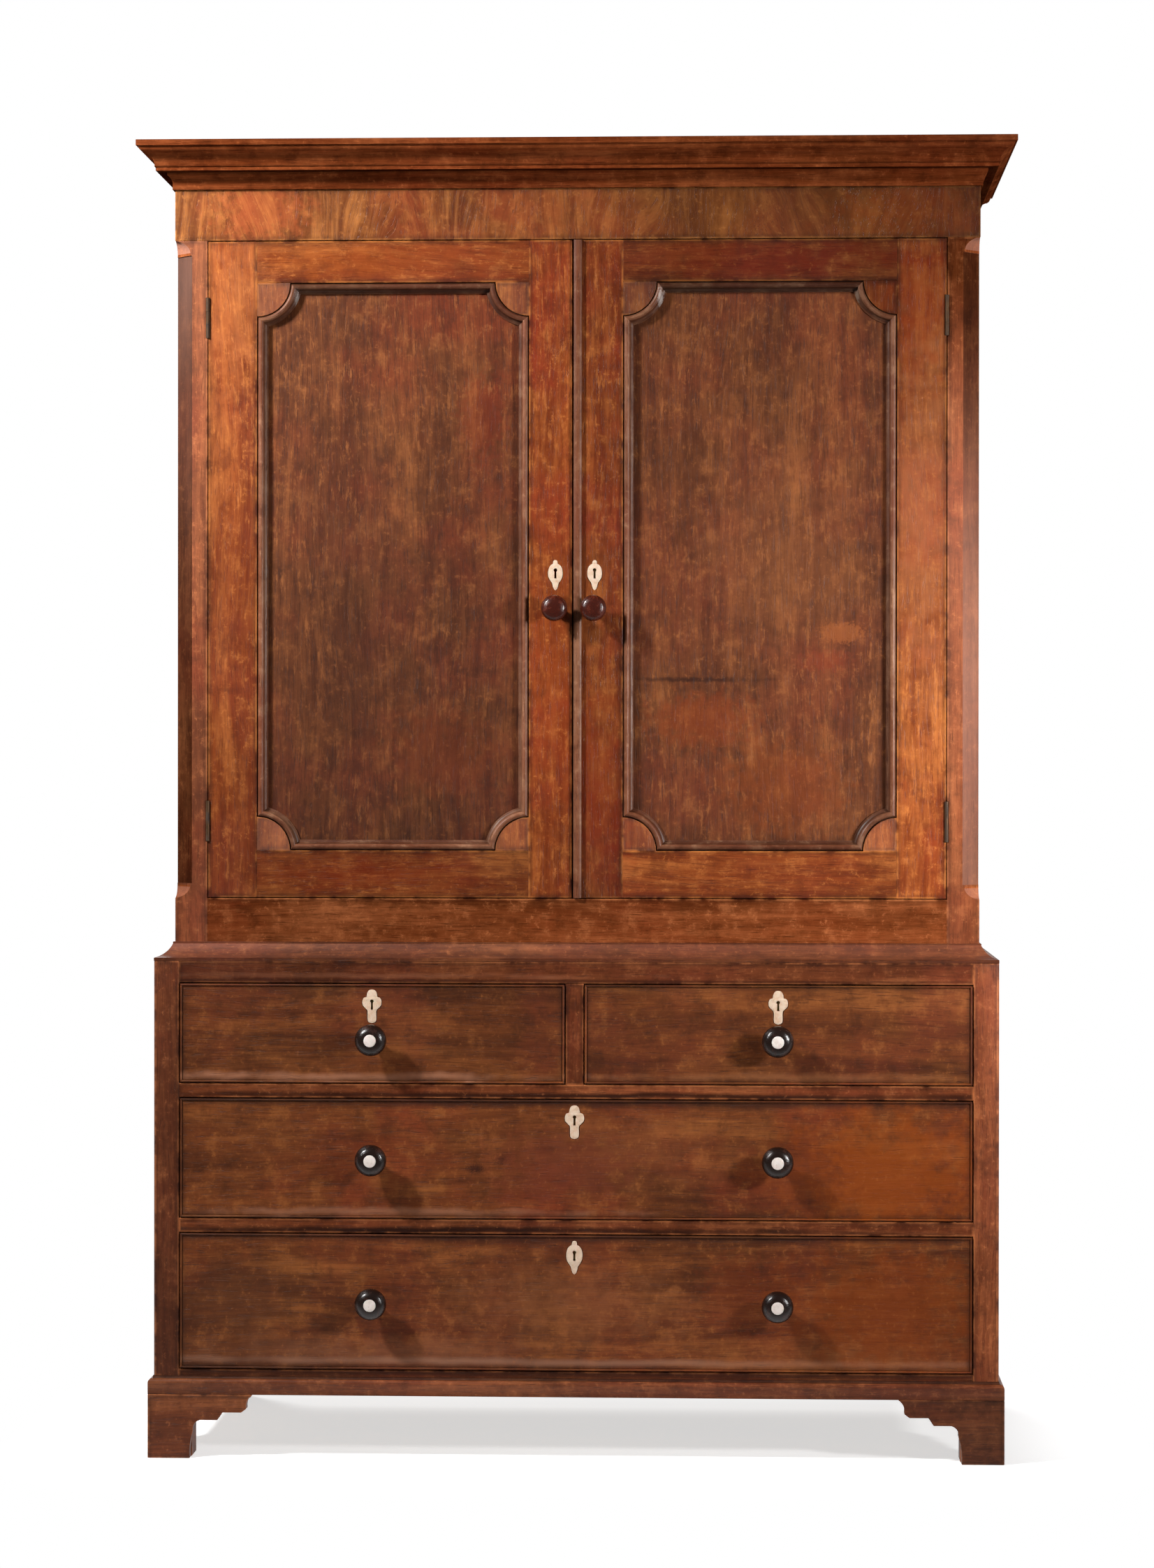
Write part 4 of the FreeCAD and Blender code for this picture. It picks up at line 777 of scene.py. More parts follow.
def runTree():
    # A section carried along stations; each station has its place and the lean and rise of the section.
    grow = Grower("mouldingRun", Stations="Object", Section="Object", Finish="Material")
    stations, section, material = grow.given
    stations, section = grow.meshOf(stations), grow.meshOf(section)
    grid, step, turn = grow.gridOf(grow.countOf(stations), grow.countOf(section))
    out, up, around = grow.parts(grow.sampled(section, turn))
    shade, warmth, paintedSheen = grow.parts(grow.sampled(section, turn, "shade"))
    along, tone, depth = grow.parts(grow.sampled(stations, step, "travel"))
    spot = grow.sampled(stations, step)
    for label, amount in (("lean", out), ("rise", up)):
        values = {0: grow.sampled(stations, step, label), "Scale": amount}
        spot = grow.vector("ADD", spot, grow.value("ShaderNodeVectorMath", {"operation": "SCALE"}, values))
    shaped = grow.moved(grid, spot)
    stored = {"grain": grow.point(along, around, depth), "board": grow.point(tone * shade, warmth, paintedSheen)}
    for label, what in stored.items():
        values = {"Geometry": shaped, "Name": label, "Value": what}
        shaped = grow.value("GeometryNodeStoreNamedAttribute", {"data_type": "FLOAT_VECTOR"}, values)
    return grow.finish(shaped, material)


def pointsObject(name, places, **vectors):
    mesh = bpy.data.meshes.new(name)
    mesh.from_pydata(places, [], [])
    for label, rows in vectors.items():
        store(mesh, label, [x for row in rows for x in row])
    return placed(name, mesh)


def plainMesh(host, material, *helpers):
    # What an object evaluates to, as a plain mesh of one material; the object and its helpers go
    mesh = bpy.data.meshes.new_from_object(host.evaluated_get(bpy.context.evaluated_depsgraph_get()))
    mesh.materials.clear()
    mesh.materials.append(material)
    for thing in (host, *helpers):
        bpy.data.batch_remove((thing, thing.data))
    return mesh


def grown(tree, *helpers, **inputs):
    # What a tree makes from its named inputs; the helpers are those of them that go afterwards
    host = placed("host", bpy.data.meshes.new("host"))
    modifier = host.modifiers.new("grow", "NODES")
    modifier.node_group = tree
    for item in tree.interface.items_tree:
        if item.in_out == "INPUT":
            modifier[item.identifier] = inputs[item.name]
    return plainMesh(host, inputs["Finish"], *helpers)


def opened(mesh):
    bm = bmesh.new()
    bm.from_mesh(mesh)
    return bm


def shut(bm, mesh):
    # Every face looks outwards, and the mesh takes on what was done to it
    bmesh.ops.recalc_face_normals(bm, faces=bm.faces[:])
    bm.to_mesh(mesh)
    bm.free()
    return mesh


def travelled(points):
    # How far along the line through the points each of them lies
    far = [0]
    for a, b in zip(points, points[1:]):
        far.append(far[-1] + math.dist(a, b))
    return far


def addRun(stock, section, stations, wood, tones, dice):
    # One length of moulding. A station is (place, lean, rise); its ends are closed flat.
    ring = section + section[:1]
    around, travel = travelled([row[:2] for row in ring]), travelled([station[0] for station in stations])
    shift, depth = dice.uniform(0, 40), dice.uniform(0, 40)
    low, high = tones
    steps = [(far + shift, low + (high - low) * far / travel[-1], depth) for far in travel]
    shades = [(shade, 0.5, paintedSheen) for _, _, shade, paintedSheen in ring]
    spots, leans, rises = zip(*stations)
    path = pointsObject("stations", spots, lean=leans, rise=rises, travel=steps)
    outline = pointsObject("section", [(*row[:2], far) for row, far in zip(ring, around)], shade=shades)
    mesh = grown(mouldingRun, path, outline, Stations=path, Section=outline, Finish=woods[wood])
    bm = opened(mesh)
    bpy.data.meshes.remove(mesh)
    layers = [bm.verts.layers.float_vector[label] for label in ("grain", "board")]
    bmesh.ops.remove_doubles(bm, verts=bm.verts[:], dist=1e-6)
    bmesh.ops.holes_fill(bm, edges=[e for e in bm.edges if e.is_boundary])
    bmesh.ops.recalc_face_normals(bm, faces=bm.faces[:])
    rows = {tuple(v.co): [tuple(v[layer]) for layer in layers] for v in bm.verts}
    stock.take(bm, lambda co: rows[tuple(co)][0], lambda co: rows[tuple(co)][1])


def throughArc(first, middle, last, count=9):
    # Points on the arc through three points, without the first
    (ax, ay), (bx, by), (cx, cy) = first, middle, last
    d = 2 * (ax * (by - cy) + bx * (cy - ay) + cx * (ay - by))
    ux = ((ax**2 + ay**2) * (by - cy) + (bx**2 + by**2) * (cy - ay) + (cx**2 + cy**2) * (ay - by)) / d
    uy = ((ax**2 + ay**2) * (cx - bx) + (bx**2 + by**2) * (ax - cx) + (cx**2 + cy**2) * (bx - ax)) / d
    start, bend, end = (math.atan2(y - uy, x - ux) for x, y in (first, middle, last))
    sweep = (end - start) % math.tau
    if (bend - start) % math.tau > sweep:
        sweep -= math.tau
    radius = math.dist(first, (ux, uy))
    angles = [start + sweep * k / count for k in range(1, count + 1)]
    return [(ux + radius * math.cos(angle), uy + radius * math.sin(angle)) for angle in angles]


def sectionOf(steps, millimetre=0.001):
    # A section in millimetres, as (shade, the steps that follow, painted sheen): a step is a corner (out,
    # up), or (through, through, out, up) for an arc. The shade is painted: it darkens a hollow as shadow or
    # lightens an edge that catches the light, and where it is a pair it runs from the first to the second;
    # the painted sheen is an even glare and may be left out.
    rows = []
    for shade, run, *paintedSheen in steps:
        first, last = shade if isinstance(shade, tuple) else (shade, shade)
        for step in run:
            more = [step] if len(step) == 2 else throughArc(here, step[:2], step[2:])
            here = more[-1]
            for k, (u, v) in enumerate(more, 1):
                part = first + (last - first) * k / len(more)
                rows.append((u * millimetre, v * millimetre, part, *(paintedSheen or [0])))
    return rows


mouldingRun = runTree()
# Each has its tones for the front, the left and the right side, and shades in its section that paint light
# on the rounds and shade in the hollows.
cornice = {
    "section": [
        (0.6, [(0, 0)]), (1, [(4, 0), (4, 5)]), ((0.85, 1.2), [(5, 14, 11, 21)]), (1, [(11, 24)]),
        (0.4, [(11, 25), (25.5, 25)]), (1.2, [(26, 25.4), (26, 31)]), (0.5, [(27.6, 31)]),
        ((0.9, 1.35), [(31.2, 43.9, 40.6, 50.9)]), ((1.35, 1.1), [(46.8, 54, 48.4, 59)]),
        (0.5, [(48.6, 59.1)]), (1.15, [(51.6, 59), (52, 59.4), (52, 67.5)]), (0.7, [(51.5, 68), (0, 68)])],
    "tones": [(0.86, 0.8), (0.8, 0.8), (0.8, 0.8)],
}
waist = {
    "section": [
        (1, [(0, 0)]), (0.75, [(28, 0)]), (0.85, [(28, 4.6), (27.6, 5)]),
        ((0.95, 1.35), [(12.6, 12.3, 3, 25)], 0.07), (0.8, [(3, 27.6), (2.6, 28), (0, 28)])],
    "tones": [(0.68, 0.8), (0.9, 0.9), (0.9, 0.9)],
}
plinth = {
    "section": [
        (0.7, [(0, 0), (7.5, 0)]), (0.8, [(8, 0.5)]), (1, [(8, 8), (8, 17)], 0.06),
        (1.3, [(6.4, 21, 3.6, 23)]), (0.45, [(1.6, 24, 0.96, 27)]), (0.4, [(0, 27)])],
    "tones": [(0.8, 0.86), (0.9, 0.9), (0.9, 0.9)],
}


def mitredRun(node, look, wood, half, front, low):
    # A moulding round the front, the left side and the right side
    dice, stock = random.Random(node), Stock()
    up = (0, 0, 1)
    left, right = (((side * half, front, low), (side, -1, 0), up) for side in (-1, 1))
    rearLeft, rearRight = (((side * half, back, low), (side, 0, 0), up) for side in (-1, 1))
    for stations, tones in zip(([left, right], [rearLeft, left], [right, rearRight]), look["tones"]):
        addRun(stock, sectionOf(look["section"]), stations, wood, tones, dice)
    stock.piece(node, wood, "carcase", crease=26)


mitredRun("cornice_moulding", cornice, "crown", press[1].x, pressFront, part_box("cornice_moulding")[0].z)
mitredRun("waist_moulding", waist, "case", press[1].x, pressFront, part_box("waist_moulding")[0].z)
mitredRun("base_moulding", plinth, "case", chest[1].x, chestFront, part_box("base_moulding")[0].z)
print("case mouldings run")


# Corners come as left low, left high, right low, right high; lengths as low and high, or left and right.
# The tones paint the lamps' light and shade on the doors, lighter where more light falls: the upright
# mouldings are lighter than the cross ones, as lit from the sides. The spandrels also carry painted sheen,
# and the bead's section paints shade at its edges and light on its round.
door = {
    "tones": {  # by solid: meeting stile, hinge stile, bottom rail, top rail
        "left_door": {0: (0.61, 0.8), 1: (0.5, 0.9), 2: (0.37, 0.43), 3: (0.78, 0.7)},
        "right_door": {0: (0.38, 0.66), 1: (1.0, 0.43), 2: (0.6, 0.68), 3: (0.4, 0.34)},
    },
    "panelTones": {"left_door": (0.35, 0.76), "right_door": (0.58, 0.64)},
    "panelRecess": 0.01,
    "spandrelRadius": 0.05,
    "spandrelSunk": 0.0002,
    "spandrelEase": 0.0005,
    "spandrelWarmth": -0.35,
    "spandrels": {  # tone, and painted sheen
        "left_door": ((0.57, 0.15), (0.68, 0.16), (0.6, 0.08), (0.66, 0.08)),
        "right_door": ((0.73, 0.09), (0.38, 0.07), (0.83, 0.12), (0.4, 0)),
    },
    "mouldingWidth": 0.016,
    "mouldingProud": 0.0025,
    "mouldingTones": {
        "left_door": {"corner": (0.4, 0.5, 0.5, 0.36), "across": (0.45, 0.3), "upright": (0.58, 0.58)},
        "right_door": {"corner": (0.4, 0.52, 0.4, 0.36), "across": (0.4, 0.2), "upright": (0.52, 0.6)},
    },
    "beadSection": [
        (0.4, [(0, 0)]), (0.9, [(0, 2.4), (0.8, 4.6)]), (1.1, [(6.25, 6, 11.7, 4.6)]),
        (0.8, [(12.5, 2.4)]), (0.4, [(12.5, 0)])],
    "beadTone": (0.42, 0.52),
}
outwards = (0, -1, 0)  # the rise of a moulding that stands on a front
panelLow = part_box("right_door_moulding")[0]
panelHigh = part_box("right_door_moulding")[1]


def openingCorners(side):
    # The corners of a panel's opening, and which way is inwards from each
    xs = sorted((side * panelLow.x, side * panelHigh.x))
    return [(x, z, sx, sz) for x, sx in zip(xs, (1, -1)) for z, sz in ((panelLow.z, 1), (panelHigh.z, -1))]


def spandrel(x, z, towardsX, towardsZ, steps=24):
    # A quarter round of wood in the corner of the panel's opening
    radius, sunk = door["spandrelRadius"], door["spandrelSunk"]
    bm = bmesh.new()
    rim = [(x, z)]
    for k in range(steps + 1):
        angle = math.pi / 2 * k / steps
        rim.append((x + towardsX * radius * math.cos(angle), z + towardsZ * radius * math.sin(angle)))
    front = bm.faces.new([bm.verts.new((u, pressFront + sunk, w)) for u, w in rim])
    body = bmesh.ops.extrude_face_region(bm, geom=[front])["geom"]
    rear = [v for v in body if isinstance(v, bmesh.types.BMVert)]
    bmesh.ops.translate(bm, vec=(0, door["panelRecess"] - sunk, 0), verts=rear)
    bmesh.ops.recalc_face_normals(bm, faces=bm.faces[:])
    return bm


def panelSurround(side, steps=14):
    # Stations for the eight lengths round a panel: its four hollow corners and what joins them
    radius, width = door["spandrelRadius"], door["mouldingWidth"]
    reach = math.sqrt((radius + width) ** 2 - width**2)
    start = math.asin(width / (radius + width))
    skew = (reach - radius) / width
    y = pressFront + door["panelRecess"]
    hollows, across, upright = [], [], []
    for x, z, sx, sz in openingCorners(side):
        hollow = []
        for k in range(steps + 1):
            inner = math.pi / 2 * (k / steps)
            outer = start + (math.pi / 2 - 2 * start) * (k / steps)
            base = Vector((sx * math.cos(inner), 0, sz * math.sin(inner))) * radius
            tip = Vector((sx * math.cos(outer), 0, sz * math.sin(outer))) * (radius + width)
            hollow.append((tuple(base + Vector((x, y, z))), tuple((tip - base) / width), outwards))
        hollows.append(hollow)
        across.append(((x + sx * radius, y, z), (sx * skew, 0, sz), outwards))
        upright.append(((x, y, z + sz * radius), (sx, 0, sz * skew), outwards))
    return {"corner": hollows, "across": (across[::2], across[1::2]), "upright": (upright[:2], upright[2:])}


def panelSection():
    # From the frame to the panel: a quirk, a round that stands proud, a hollow and a fillet, with painted
    # shade in the quirk and the hollow and painted light on the round
    width = door["mouldingWidth"] * 1000
    high = (door["panelRecess"] + door["mouldingProud"]) * 1000
    return sectionOf([
        (0.35, [(0, 0.1), (0, high * 0.5), (0.08 * width, high * 0.52)]),
        (0.8, [(0.12 * width, high * 0.78)]),
        ((0.9, 1.2), [(0.36 * width, high, 0.6 * width, high * 0.8)]),
        (0.8, [(0.63 * width, high * 0.62)]),
        ((0.6, 0.75), [(0.74 * width, high * 0.34, 0.89 * width, high * 0.22)]),
        (0.9, [(width, high * 0.2)]),
        (0.45, [(width, 0.1)]),
    ])


for side, name in ((-1, "left_door"), (1, "right_door")):
    dice = random.Random(name)
    added = range(4, 8)  # the corner blocks, which come as spandrels
    stock, done = dress(name + "_frame", "door", name, tones=door["tones"][name], leave=added)
    for corner, (tone, paintedSheen) in zip(openingCorners(side), door["spandrels"][name]):
        bm = easeEdges(spandrel(*corner), door["spandrelEase"])
        tones, warmth = (tone, tone), door["spandrelWarmth"]
        takeBoard(stock, bm, tones, dice, 2, shine=lambda co: (1, paintedSheen), warmth=warmth)
    done()
    dressed(name + "_panel", "panel", name, axis=2, ease=0, tones={0: door["panelTones"][name]})
    stock = Stock()
    for kind, lengths in panelSurround(side).items():
        for stations, tone in zip(lengths, door["mouldingTones"][name][kind]):
            addRun(stock, panelSection(), stations, "moulding", (tone, tone), dice)
    stock.piece(name + "_moulding", "moulding", name, crease=26)

stock = Stock()
low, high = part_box("right_door_meeting_bead")
stations = [((low.x, pressFront, z), (1, 0, 0), outwards) for z in (low.z, high.z)]
addRun(stock, sectionOf(door["beadSection"]), stations, "moulding", door["beadTone"], random.Random("bead"))
stock.piece("right_door_meeting_bead", "moulding", "right_door", name="meetingBead")
print("doors framed, panelled and moulded")


drawers = {  # the tones of their fronts, which also paint how much light falls on each
    "left_short": (0.84, 0.76), "right_short": (0.82, 1.04), "middle": (0.95, 1), "bottom": (1.04, 1.02),
}
cockBead = {
    # its shades paint shade where the bead meets the front and light on its round nose
    "section": [
        (0.3, [(0, -9)]), (0.6, [(0, 0)]), (1, [(0, 0.6)]), (1.25, [(1.6, 2, 3.2, 0.6)]),
        (0.6, [(3.2, 0)]), (0.3, [(3.2, -9)])],
    # by edge: the corners it runs between, each as (left or right, low or high), and its tones; the high
    # bead is darker, a painted shade under the rail
    "edges": (((0, 0), (1, 0), (0.5, 0.95)), ((0, 1), (1, 1), (0.5, 0.55)),
              ((0, 0), (0, 1), (0.8, 0.8)), ((1, 0), (1, 1), (0.7, 0.7))),
}


def cockBeads(stock, name, dice):
    # Four mitred strips with round noses, let in along the edges of a drawer front
    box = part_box(name + "_drawer_front")
    for *ends, tones in cockBead["edges"]:
        stations = [((box[i].x, chestFront, box[k].z), (1 - 2 * i, 0, 1 - 2 * k), outwards) for i, k in ends]
        addRun(stock, sectionOf(cockBead["section"]), stations, "drawer", tones, dice)


for name, tones in drawers.items():
    body = name + "_drawer"
    added = range(1, 5)  # the cock beads
    stock, done = dress(body + "_front", "drawer", body, tones={0: tones}, leave=added)
    cockBeads(stock, name, random.Random(name))
    done()
    dressed(body + "_box", "oak", body, ease=0.0004)
print("drawers dressed")


def latheTree():
    # A profile of (radius, length) turned about the axis, and set at each place
    grow = Grower("latheWork", Places="Object", Profile="Object", Steps="Int", Seed="Int", Finish="Material")
    places, profile, steps, seed, material = grow.given
    places, profile = grow.meshOf(places), grow.meshOf(profile)
    grid, step, ring = grow.gridOf(steps + 1, grow.countOf(profile))
    radius, length, _ = grow.parts(grow.sampled(profile, ring))
    angle = step * math.tau / steps
    across, up = (radius * angle.maths(operation, angle) for operation in ("COSINE", "SINE"))
    knob = grow.moved(grid, grow.point(across, 0 - length, up))
    knob = grow.value("GeometryNodeMergeByDistance", None, {"Geometry": knob, "Distance": 1e-5})
    spin = {"Max_001": math.tau, "Seed": seed}
    spin = grow.point(0, grow.value("FunctionNodeRandomValue", {"data_type": "FLOAT"}, spin, "Value_001"))
    values = {"Points": places, "Instance": knob, "Rotation": spin}
    return grow.finish(grow.value("GeometryNodeInstanceOnPoints", None, values), material)


def eased(points, count):
    # A smooth curve through the points (Catmull-Rom), with the ends kept
    spots = [Vector(p) for p in points]
    spots = [2 * spots[0] - spots[1]] + spots + [2 * spots[-1] - spots[-2]]
    curve = []
    for a, b, c, d in zip(spots, spots[1:], spots[2:], spots[3:]):
        for t in (k / count for k in range(count)):
            square, cube = (2 * a - 5 * b + 4 * c - d) * t**2, (3 * b - 3 * c + d - a) * t**3
            curve.append(tuple(0.5 * (2 * b + (c - a) * t + square + cube)))
    return curve + [tuple(points[-1])]


lathe = latheTree()
knobs = {
    "drawer": {"radius": 0.0235, "length": 0.044},
    "door": {"radius": 0.0195, "length": 0.038},
    "steps": 48,
    "shares": [(0.57, 0), (0.605, 0.04), (0.56, 0.085), (0.41, 0.13), (0.37, 0.24), (0.49, 0.41),
               (0.8, 0.52), (0.97, 0.62), (1, 0.7), (0.94, 0.82), (0.76, 0.93)],
    "shank": (0.007, 0.02),
}
disc = {"radius": 0.0092, "sunk": 0.0022, "proud": 0.0008, "clearance": 0.0002, "border": 0.001,
        "angles": (0.35, 0.7, 1.05, 1.3), "steps": 32}


def turnedMesh(profile, places, steps, material):
    spots = pointsObject("places", places)
    outline = pointsObject("profile", [(r, l, 0) for r, l in profile])
    inputs = {"Places": spots, "Profile": outline, "Steps": steps, "Seed": 1, "Finish": material}
    mesh = grown(lathe, spots, outline, **inputs)
    return creased(shut(opened(mesh), mesh), 40)


def knobProfile(kind, inlaid):
    radius, length = knobs[kind]["radius"], knobs[kind]["length"]
    shank, depth = knobs["shank"]
    bun = eased([(u * radius, v * length) for u, v in knobs["shares"]], 5)
    if inlaid:
        rim, floor = disc["radius"] + disc["clearance"], length - disc["sunk"]
        face = [bun[-1], (0.6 * radius, 0.975 * length), (disc["radius"] + disc["border"], length)]
        ends = eased(face, 3)[1:] + [(rim, length), (rim, floor), (0, floor)]
    else:
        face = [bun[-1], (0.5 * radius, 0.98 * length), (0.22 * radius, 0.997 * length), (0, length)]
        ends = eased(face, 4)[1:]
    return [(0, -depth), (shank, -depth), (shank, 0)] + bun + ends


def solidBoxes(node):
    # The middle and the height of each solid of a node: (across, up, height)
    for solid in solidsOf(node):
        (x, _, z), (endX, _, endZ) = extent([corner for triangle in solid for corner in triangle])
        yield (x + endX) / 2, (z + endZ) / 2, endZ - z


def knobPiece(kind, node, body, front):
    places = [(x, front, z) for x, z, _ in solidBoxes(node)]
    mesh = turnedMesh(knobProfile(kind, kind == "drawer"), places, knobs["steps"], ebony[kind])
    ride(mesh, body, "ebonised_wood", node)
    return places


def discMesh(places):
    # Slightly domed discs of bone
    radius, top = disc["radius"], knobs["drawer"]["length"]
    rim, rise = top - disc["clearance"], disc["proud"] + disc["clearance"]
    dome = [(0, top - disc["sunk"]), (radius, top - disc["sunk"]), (radius, rim)]
    dome += [(radius * math.cos(a), rim + rise * math.sin(a)) for a in disc["angles"]]
    return turnedMesh(dome + [(0, top + disc["proud"])], places, disc["steps"], discBone)


discs = {}
for name in drawers:
    body = name + "_drawer"
    discs[body] = discMesh(knobPiece("drawer", body + "_knobs", body, chestFront))
for body in ("left_door", "right_door"):
    knobPiece("door", body + "_knob", body, pressFront)
print("knobs turned")


# Outlines from the top down, right half, as shares of half the width and of the height
plates = {
    "kite": [(0, 0.5), (0.2, 0.485), (0.31, 0.43), (0.34, 0.375), (0.62, 0.335), (0.88, 0.24), (1, 0.1),
             (0.96, -0.05), (0.72, -0.17), (0.46, -0.26), (0.36, -0.36), (0.2, -0.46), (0, -0.5)],
    "urn": [(0, 0.5), (0.26, 0.485), (0.46, 0.42), (0.54, 0.33), (0.6, 0.275), (0.86, 0.25), (1, 0.15),
            (0.95, 0.03), (0.66, -0.06), (0.46, -0.14), (0.46, -0.36), (0.36, -0.46), (0, -0.5)],
    "kiteWidth": 0.48,  # of the height
    "urnWidth": 0.57,
    "proud": 0.0006,
    "thickness": 0.003,
    "ease": 0.00025,
    "hole": {"radius": 0.0027, "slot": 0.0017, "length": 0.0125, "rise": 0.0075, "from": -58, "sweep": 296},
}


def keyhole(steps=14):
    # The round of the hole, and the two low corners of its slot
    hole = plates["hole"]
    low = hole["rise"] - hole["length"]
    angles = [math.radians(hole["from"] + hole["sweep"] * k / steps) for k in range(steps + 1)]
    ring = [(hole["radius"] * math.cos(a), hole["rise"] + hole["radius"] * math.sin(a)) for a in angles]
    return ring + [(-hole["slot"], low), (hole["slot"], low)]


def plateMesh(kind, high, x, z, face):
    wide = high * plates[kind + "Width"]
    half = eased([(u * wide / 2, w * high, 0) for u, w in plates[kind]], 4)
    outer = [(u, w) for u, w, _ in half] + [(-u, w) for u, w, _ in reversed(half[1:-1])]
    curve = bpy.data.curves.new("plate", "CURVE")
    curve.dimensions = "2D"
    curve.fill_mode = "BOTH"
    curve.bevel_depth = plates["ease"]
    curve.bevel_resolution = 1
    curve.offset = -plates["ease"]
    curve.extrude = plates["thickness"] / 2 - curve.bevel_depth
    for points in (outer, keyhole()):
        spline = curve.splines.new("POLY")
        spline.points.add(len(points) - 1)
        spline.points.foreach_set("co", [number for u, w in points for number in (u, w, 0, 1)])
        spline.use_cyclic_u = True
    mesh = plainMesh(placed("plate", curve), bone)
    middle = face - plates["proud"] + plates["thickness"] / 2
    bm = opened(mesh)
    bmesh.ops.remove_doubles(bm, verts=bm.verts[:], dist=1e-6)
    for vert in bm.verts:
        u, w, d = vert.co
        vert.co = (x + u, middle + d, z + w)
    return shut(bm, mesh)


def joined(whole, *others):
    # The first mesh takes in the others, each with its own material
    bm = opened(whole)
    for number, part in enumerate(others, 1):
        start = len(bm.faces)
        bm.from_mesh(part)
        bm.faces.ensure_lookup_table()
        for face in bm.faces[start:]:
            face.material_index = number
        whole.materials.append(part.materials[0])
        bpy.data.meshes.remove(part)
    bm.to_mesh(whole)
    bm.free()
    return creased(whole, 38)


for name in drawers:
    body = name + "_drawer"
    kind = "kite" if name == "bottom" else "urn"
    x, z, high = max(solidBoxes(body + "_bone"), key=lambda row: row[2])
    plate = plateMesh(kind, high, x, z, chestFront)
    ride(joined(discs[body], plate), body, "bone", body + "_bone")
for body in ("left_door", "right_door"):
    node = body + "_escutcheon"
    x, z, high = next(solidBoxes(node))
    ride(joined(plateMesh("kite", high, x, z, pressFront)), body, "bone", node)
print("escutcheons cut")


fittings = {"hinges": "iron", "bolt": "brass", "lock": "brass", "guides": "brass"}
for node in nodes:
    kind = fittings.get(node.split("_")[-1])
    if kind:
        for slot in nodes[node].material_slots:
            slot.material = metals[kind]
print("metal fittings finished")


studio = {
    "cameraAt": (0.248, -5.9525, 1.032),
    "turn": 2.461,
    "pitch": -0.277,
    "roll": -0.054,
    "lens": 88.24,
    "sensor": 36,
    "clipEnd": 60,
    "lamps": [  # place, aim, size, power, spread
        ((-2.4, -1.75, 3.0), (-0.9, -0.25, 1.6), 0.4, 33, 70),
        ((2.28, -1.76, 1.35), (0.6, -0.25, 1.1), 0.4, 12, 62),
        ((-1.2, 3.2, 2.4), (0, 0.3, 0.9), 1.6, 60, 180),
    ],
    "ambient": 0.09,
    "roomFade": (0.15, 0.6),  # how the room shows from its front to its back, in a gloss
    "floorFade": (-0.7, -0.2),
    "floorLift": 0.62,
    "footprint": (0.6, 0.27, 0),  # half of it
    "shadowReach": 0.28,
    "floorReach": 30,
}


def setCamera():
    data = bpy.data.cameras.new("camera")
    data.lens = studio["lens"]
    data.sensor_width = studio["sensor"]
    data.clip_end = studio["clipEnd"]
    camera = placed("camera", data)
    camera.location = studio["cameraAt"]
    camera.rotation_euler = [math.radians(a) for a in (90 + studio["pitch"], studio["roll"], studio["turn"])]
    bpy.context.scene.camera = camera


def setLamps():
    for place, aim, size, power, spread in studio["lamps"]:
        data = bpy.data.lights.new("softLamp", "AREA")
        data.shape = "DISK"
        data.size = size
        data.energy = power
        data.spread = math.radians(spread)
        lamp = placed("softLamp", data)
        lamp.location = place
        lamp.rotation_euler = (Vector(aim) - Vector(place)).to_track_quat("-Z", "Y").to_euler()


def emptied(owner):
    # A world or a material, ready for nodes
    owner.use_nodes = True
    owner.node_tree.nodes.clear()
    return NodeMaker(owner.node_tree)


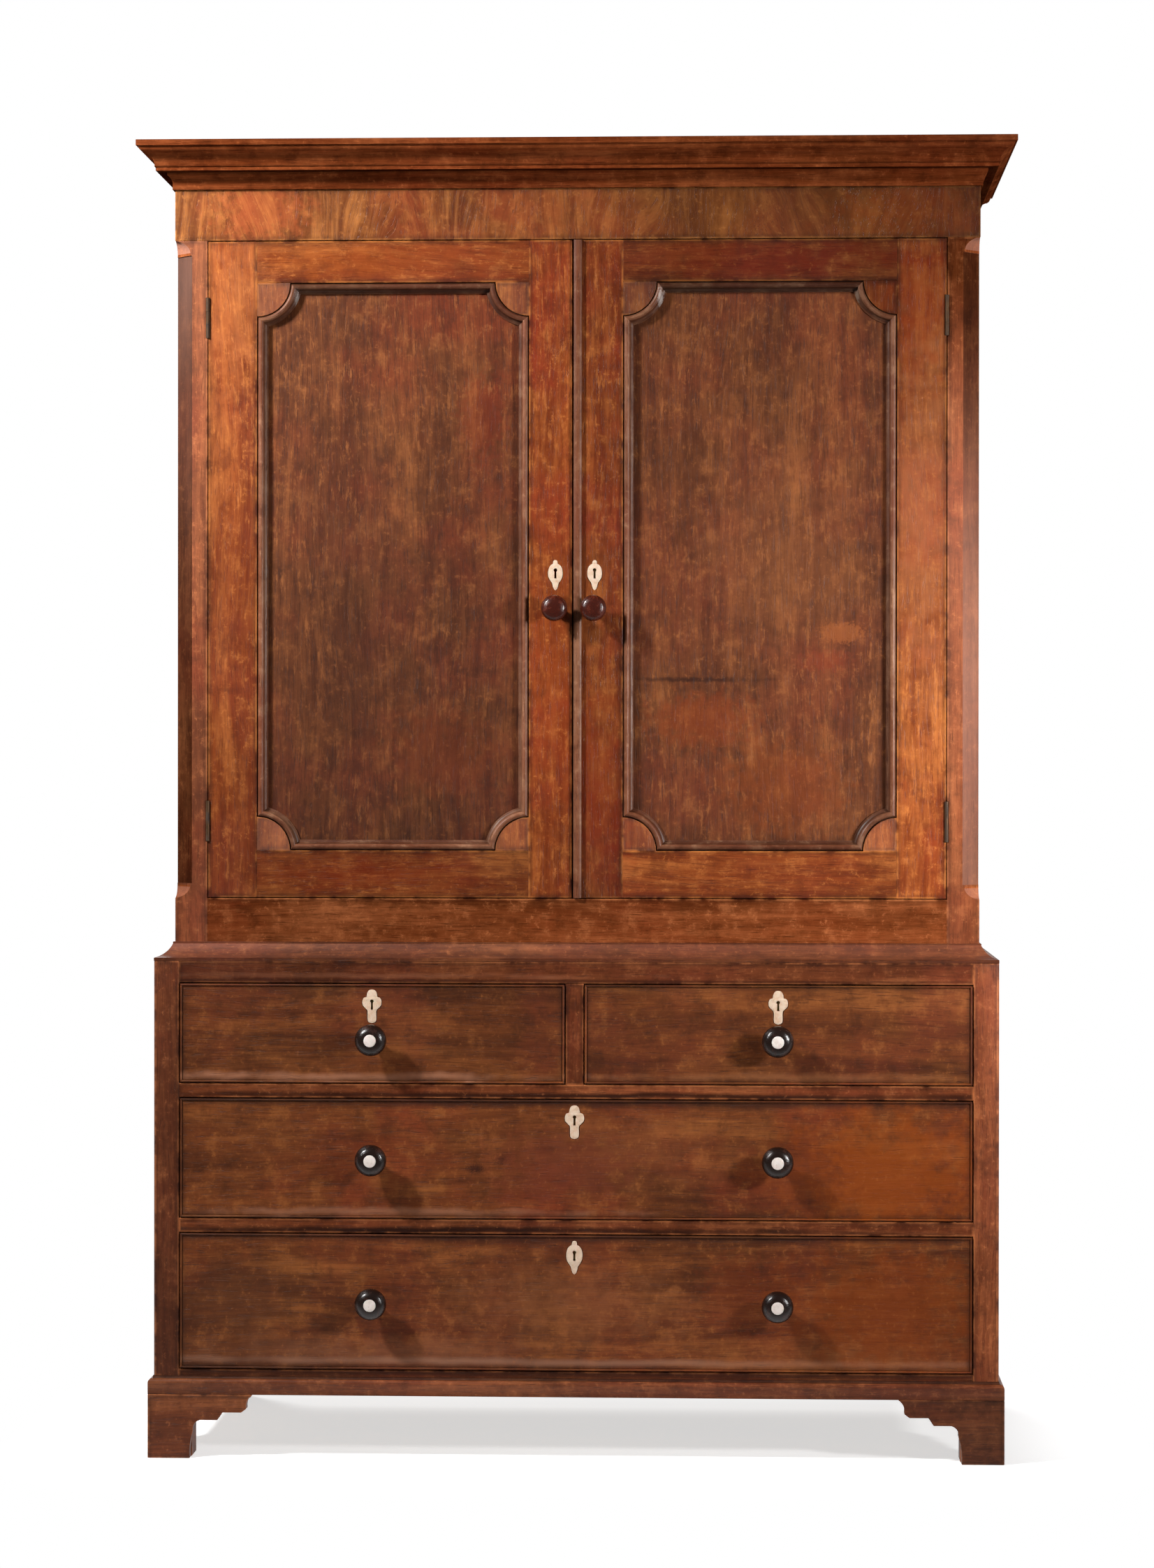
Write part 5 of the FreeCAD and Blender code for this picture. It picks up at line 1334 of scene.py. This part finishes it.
def seen(make, behind):
    # 1 for what the camera sees, straight, through glass or, behind the object, in a gloss;
    # 0 for what lights it
    path = make.node("ShaderNodeLightPath").outputs
    kinds = ("Is Camera Ray", "Is Glossy Ray", "Is Transmission Ray")
    direct, gloss, through = (Value(make, path[kind]) for kind in kinds)
    shown = direct + through + gloss * behind
    return shown.maths("MINIMUM", shown, 1)


def setWorld():
    # A white backdrop; the room in front, behind the camera, shows dimmer in a gloss
    world = bpy.data.worlds.new("paleRoom")
    make = emptied(world)
    depth = make.parts(make.value("ShaderNodeTexCoord", out="Generated"))[1]
    shown = seen(make, depth.between(*studio["roomFade"]))
    strength = shown + (1 - shown) * studio["ambient"]
    light = make.value("ShaderNodeBackground", None, {"Color": (1, 1, 1, 1), "Strength": strength})
    make.node("ShaderNodeOutputWorld", None, {"Surface": light})
    bpy.context.scene.world = world


def setFloor():
    # White floor: lit round the object, so that the shadow shows, and plain white further off
    material = bpy.data.materials.new("paleFloor")
    make = emptied(material)
    place = make.value("ShaderNodeTexCoord", out="Object")
    offset = make.vector("SUBTRACT", make.vector("ABSOLUTE", place), studio["footprint"])
    far = make.length(make.vector("MAXIMUM", offset, (0, 0, 0))).between(0, studio["shadowReach"])
    shown = seen(make, make.parts(place)[1].between(*studio["floorFade"]))
    glow = shown * (far + (1 - far) * studio["floorLift"])
    lit = make.value("ShaderNodeBsdfDiffuse", None, {"Color": (0.8, 0.8, 0.8, 1)})
    white = make.value("ShaderNodeEmission", None, {"Color": (1, 1, 1, 1), "Strength": 1})
    lift = make.value("ShaderNodeEmission", None, {"Strength": glow})
    raised = make.value("ShaderNodeAddShader", None, {0: lit, 1: lift})
    mixed = make.value("ShaderNodeMixShader", None, {0: far * shown, 1: raised, 2: white})
    make.node("ShaderNodeOutputMaterial", None, {"Surface": mixed})
    reach = studio["floorReach"]
    mesh = bpy.data.meshes.new("floor")
    corners = [(-reach, -reach, 0), (reach, -reach, 0), (reach, reach, 0), (-reach, reach, 0)]
    mesh.from_pydata(corners, [], [(0, 1, 2, 3)])
    mesh.materials.append(material)
    floor = placed("floor", mesh)


setCamera()
setLamps()
setWorld()
setFloor()
bpy.context.scene.view_settings.view_transform = "Standard"
print("studio set")
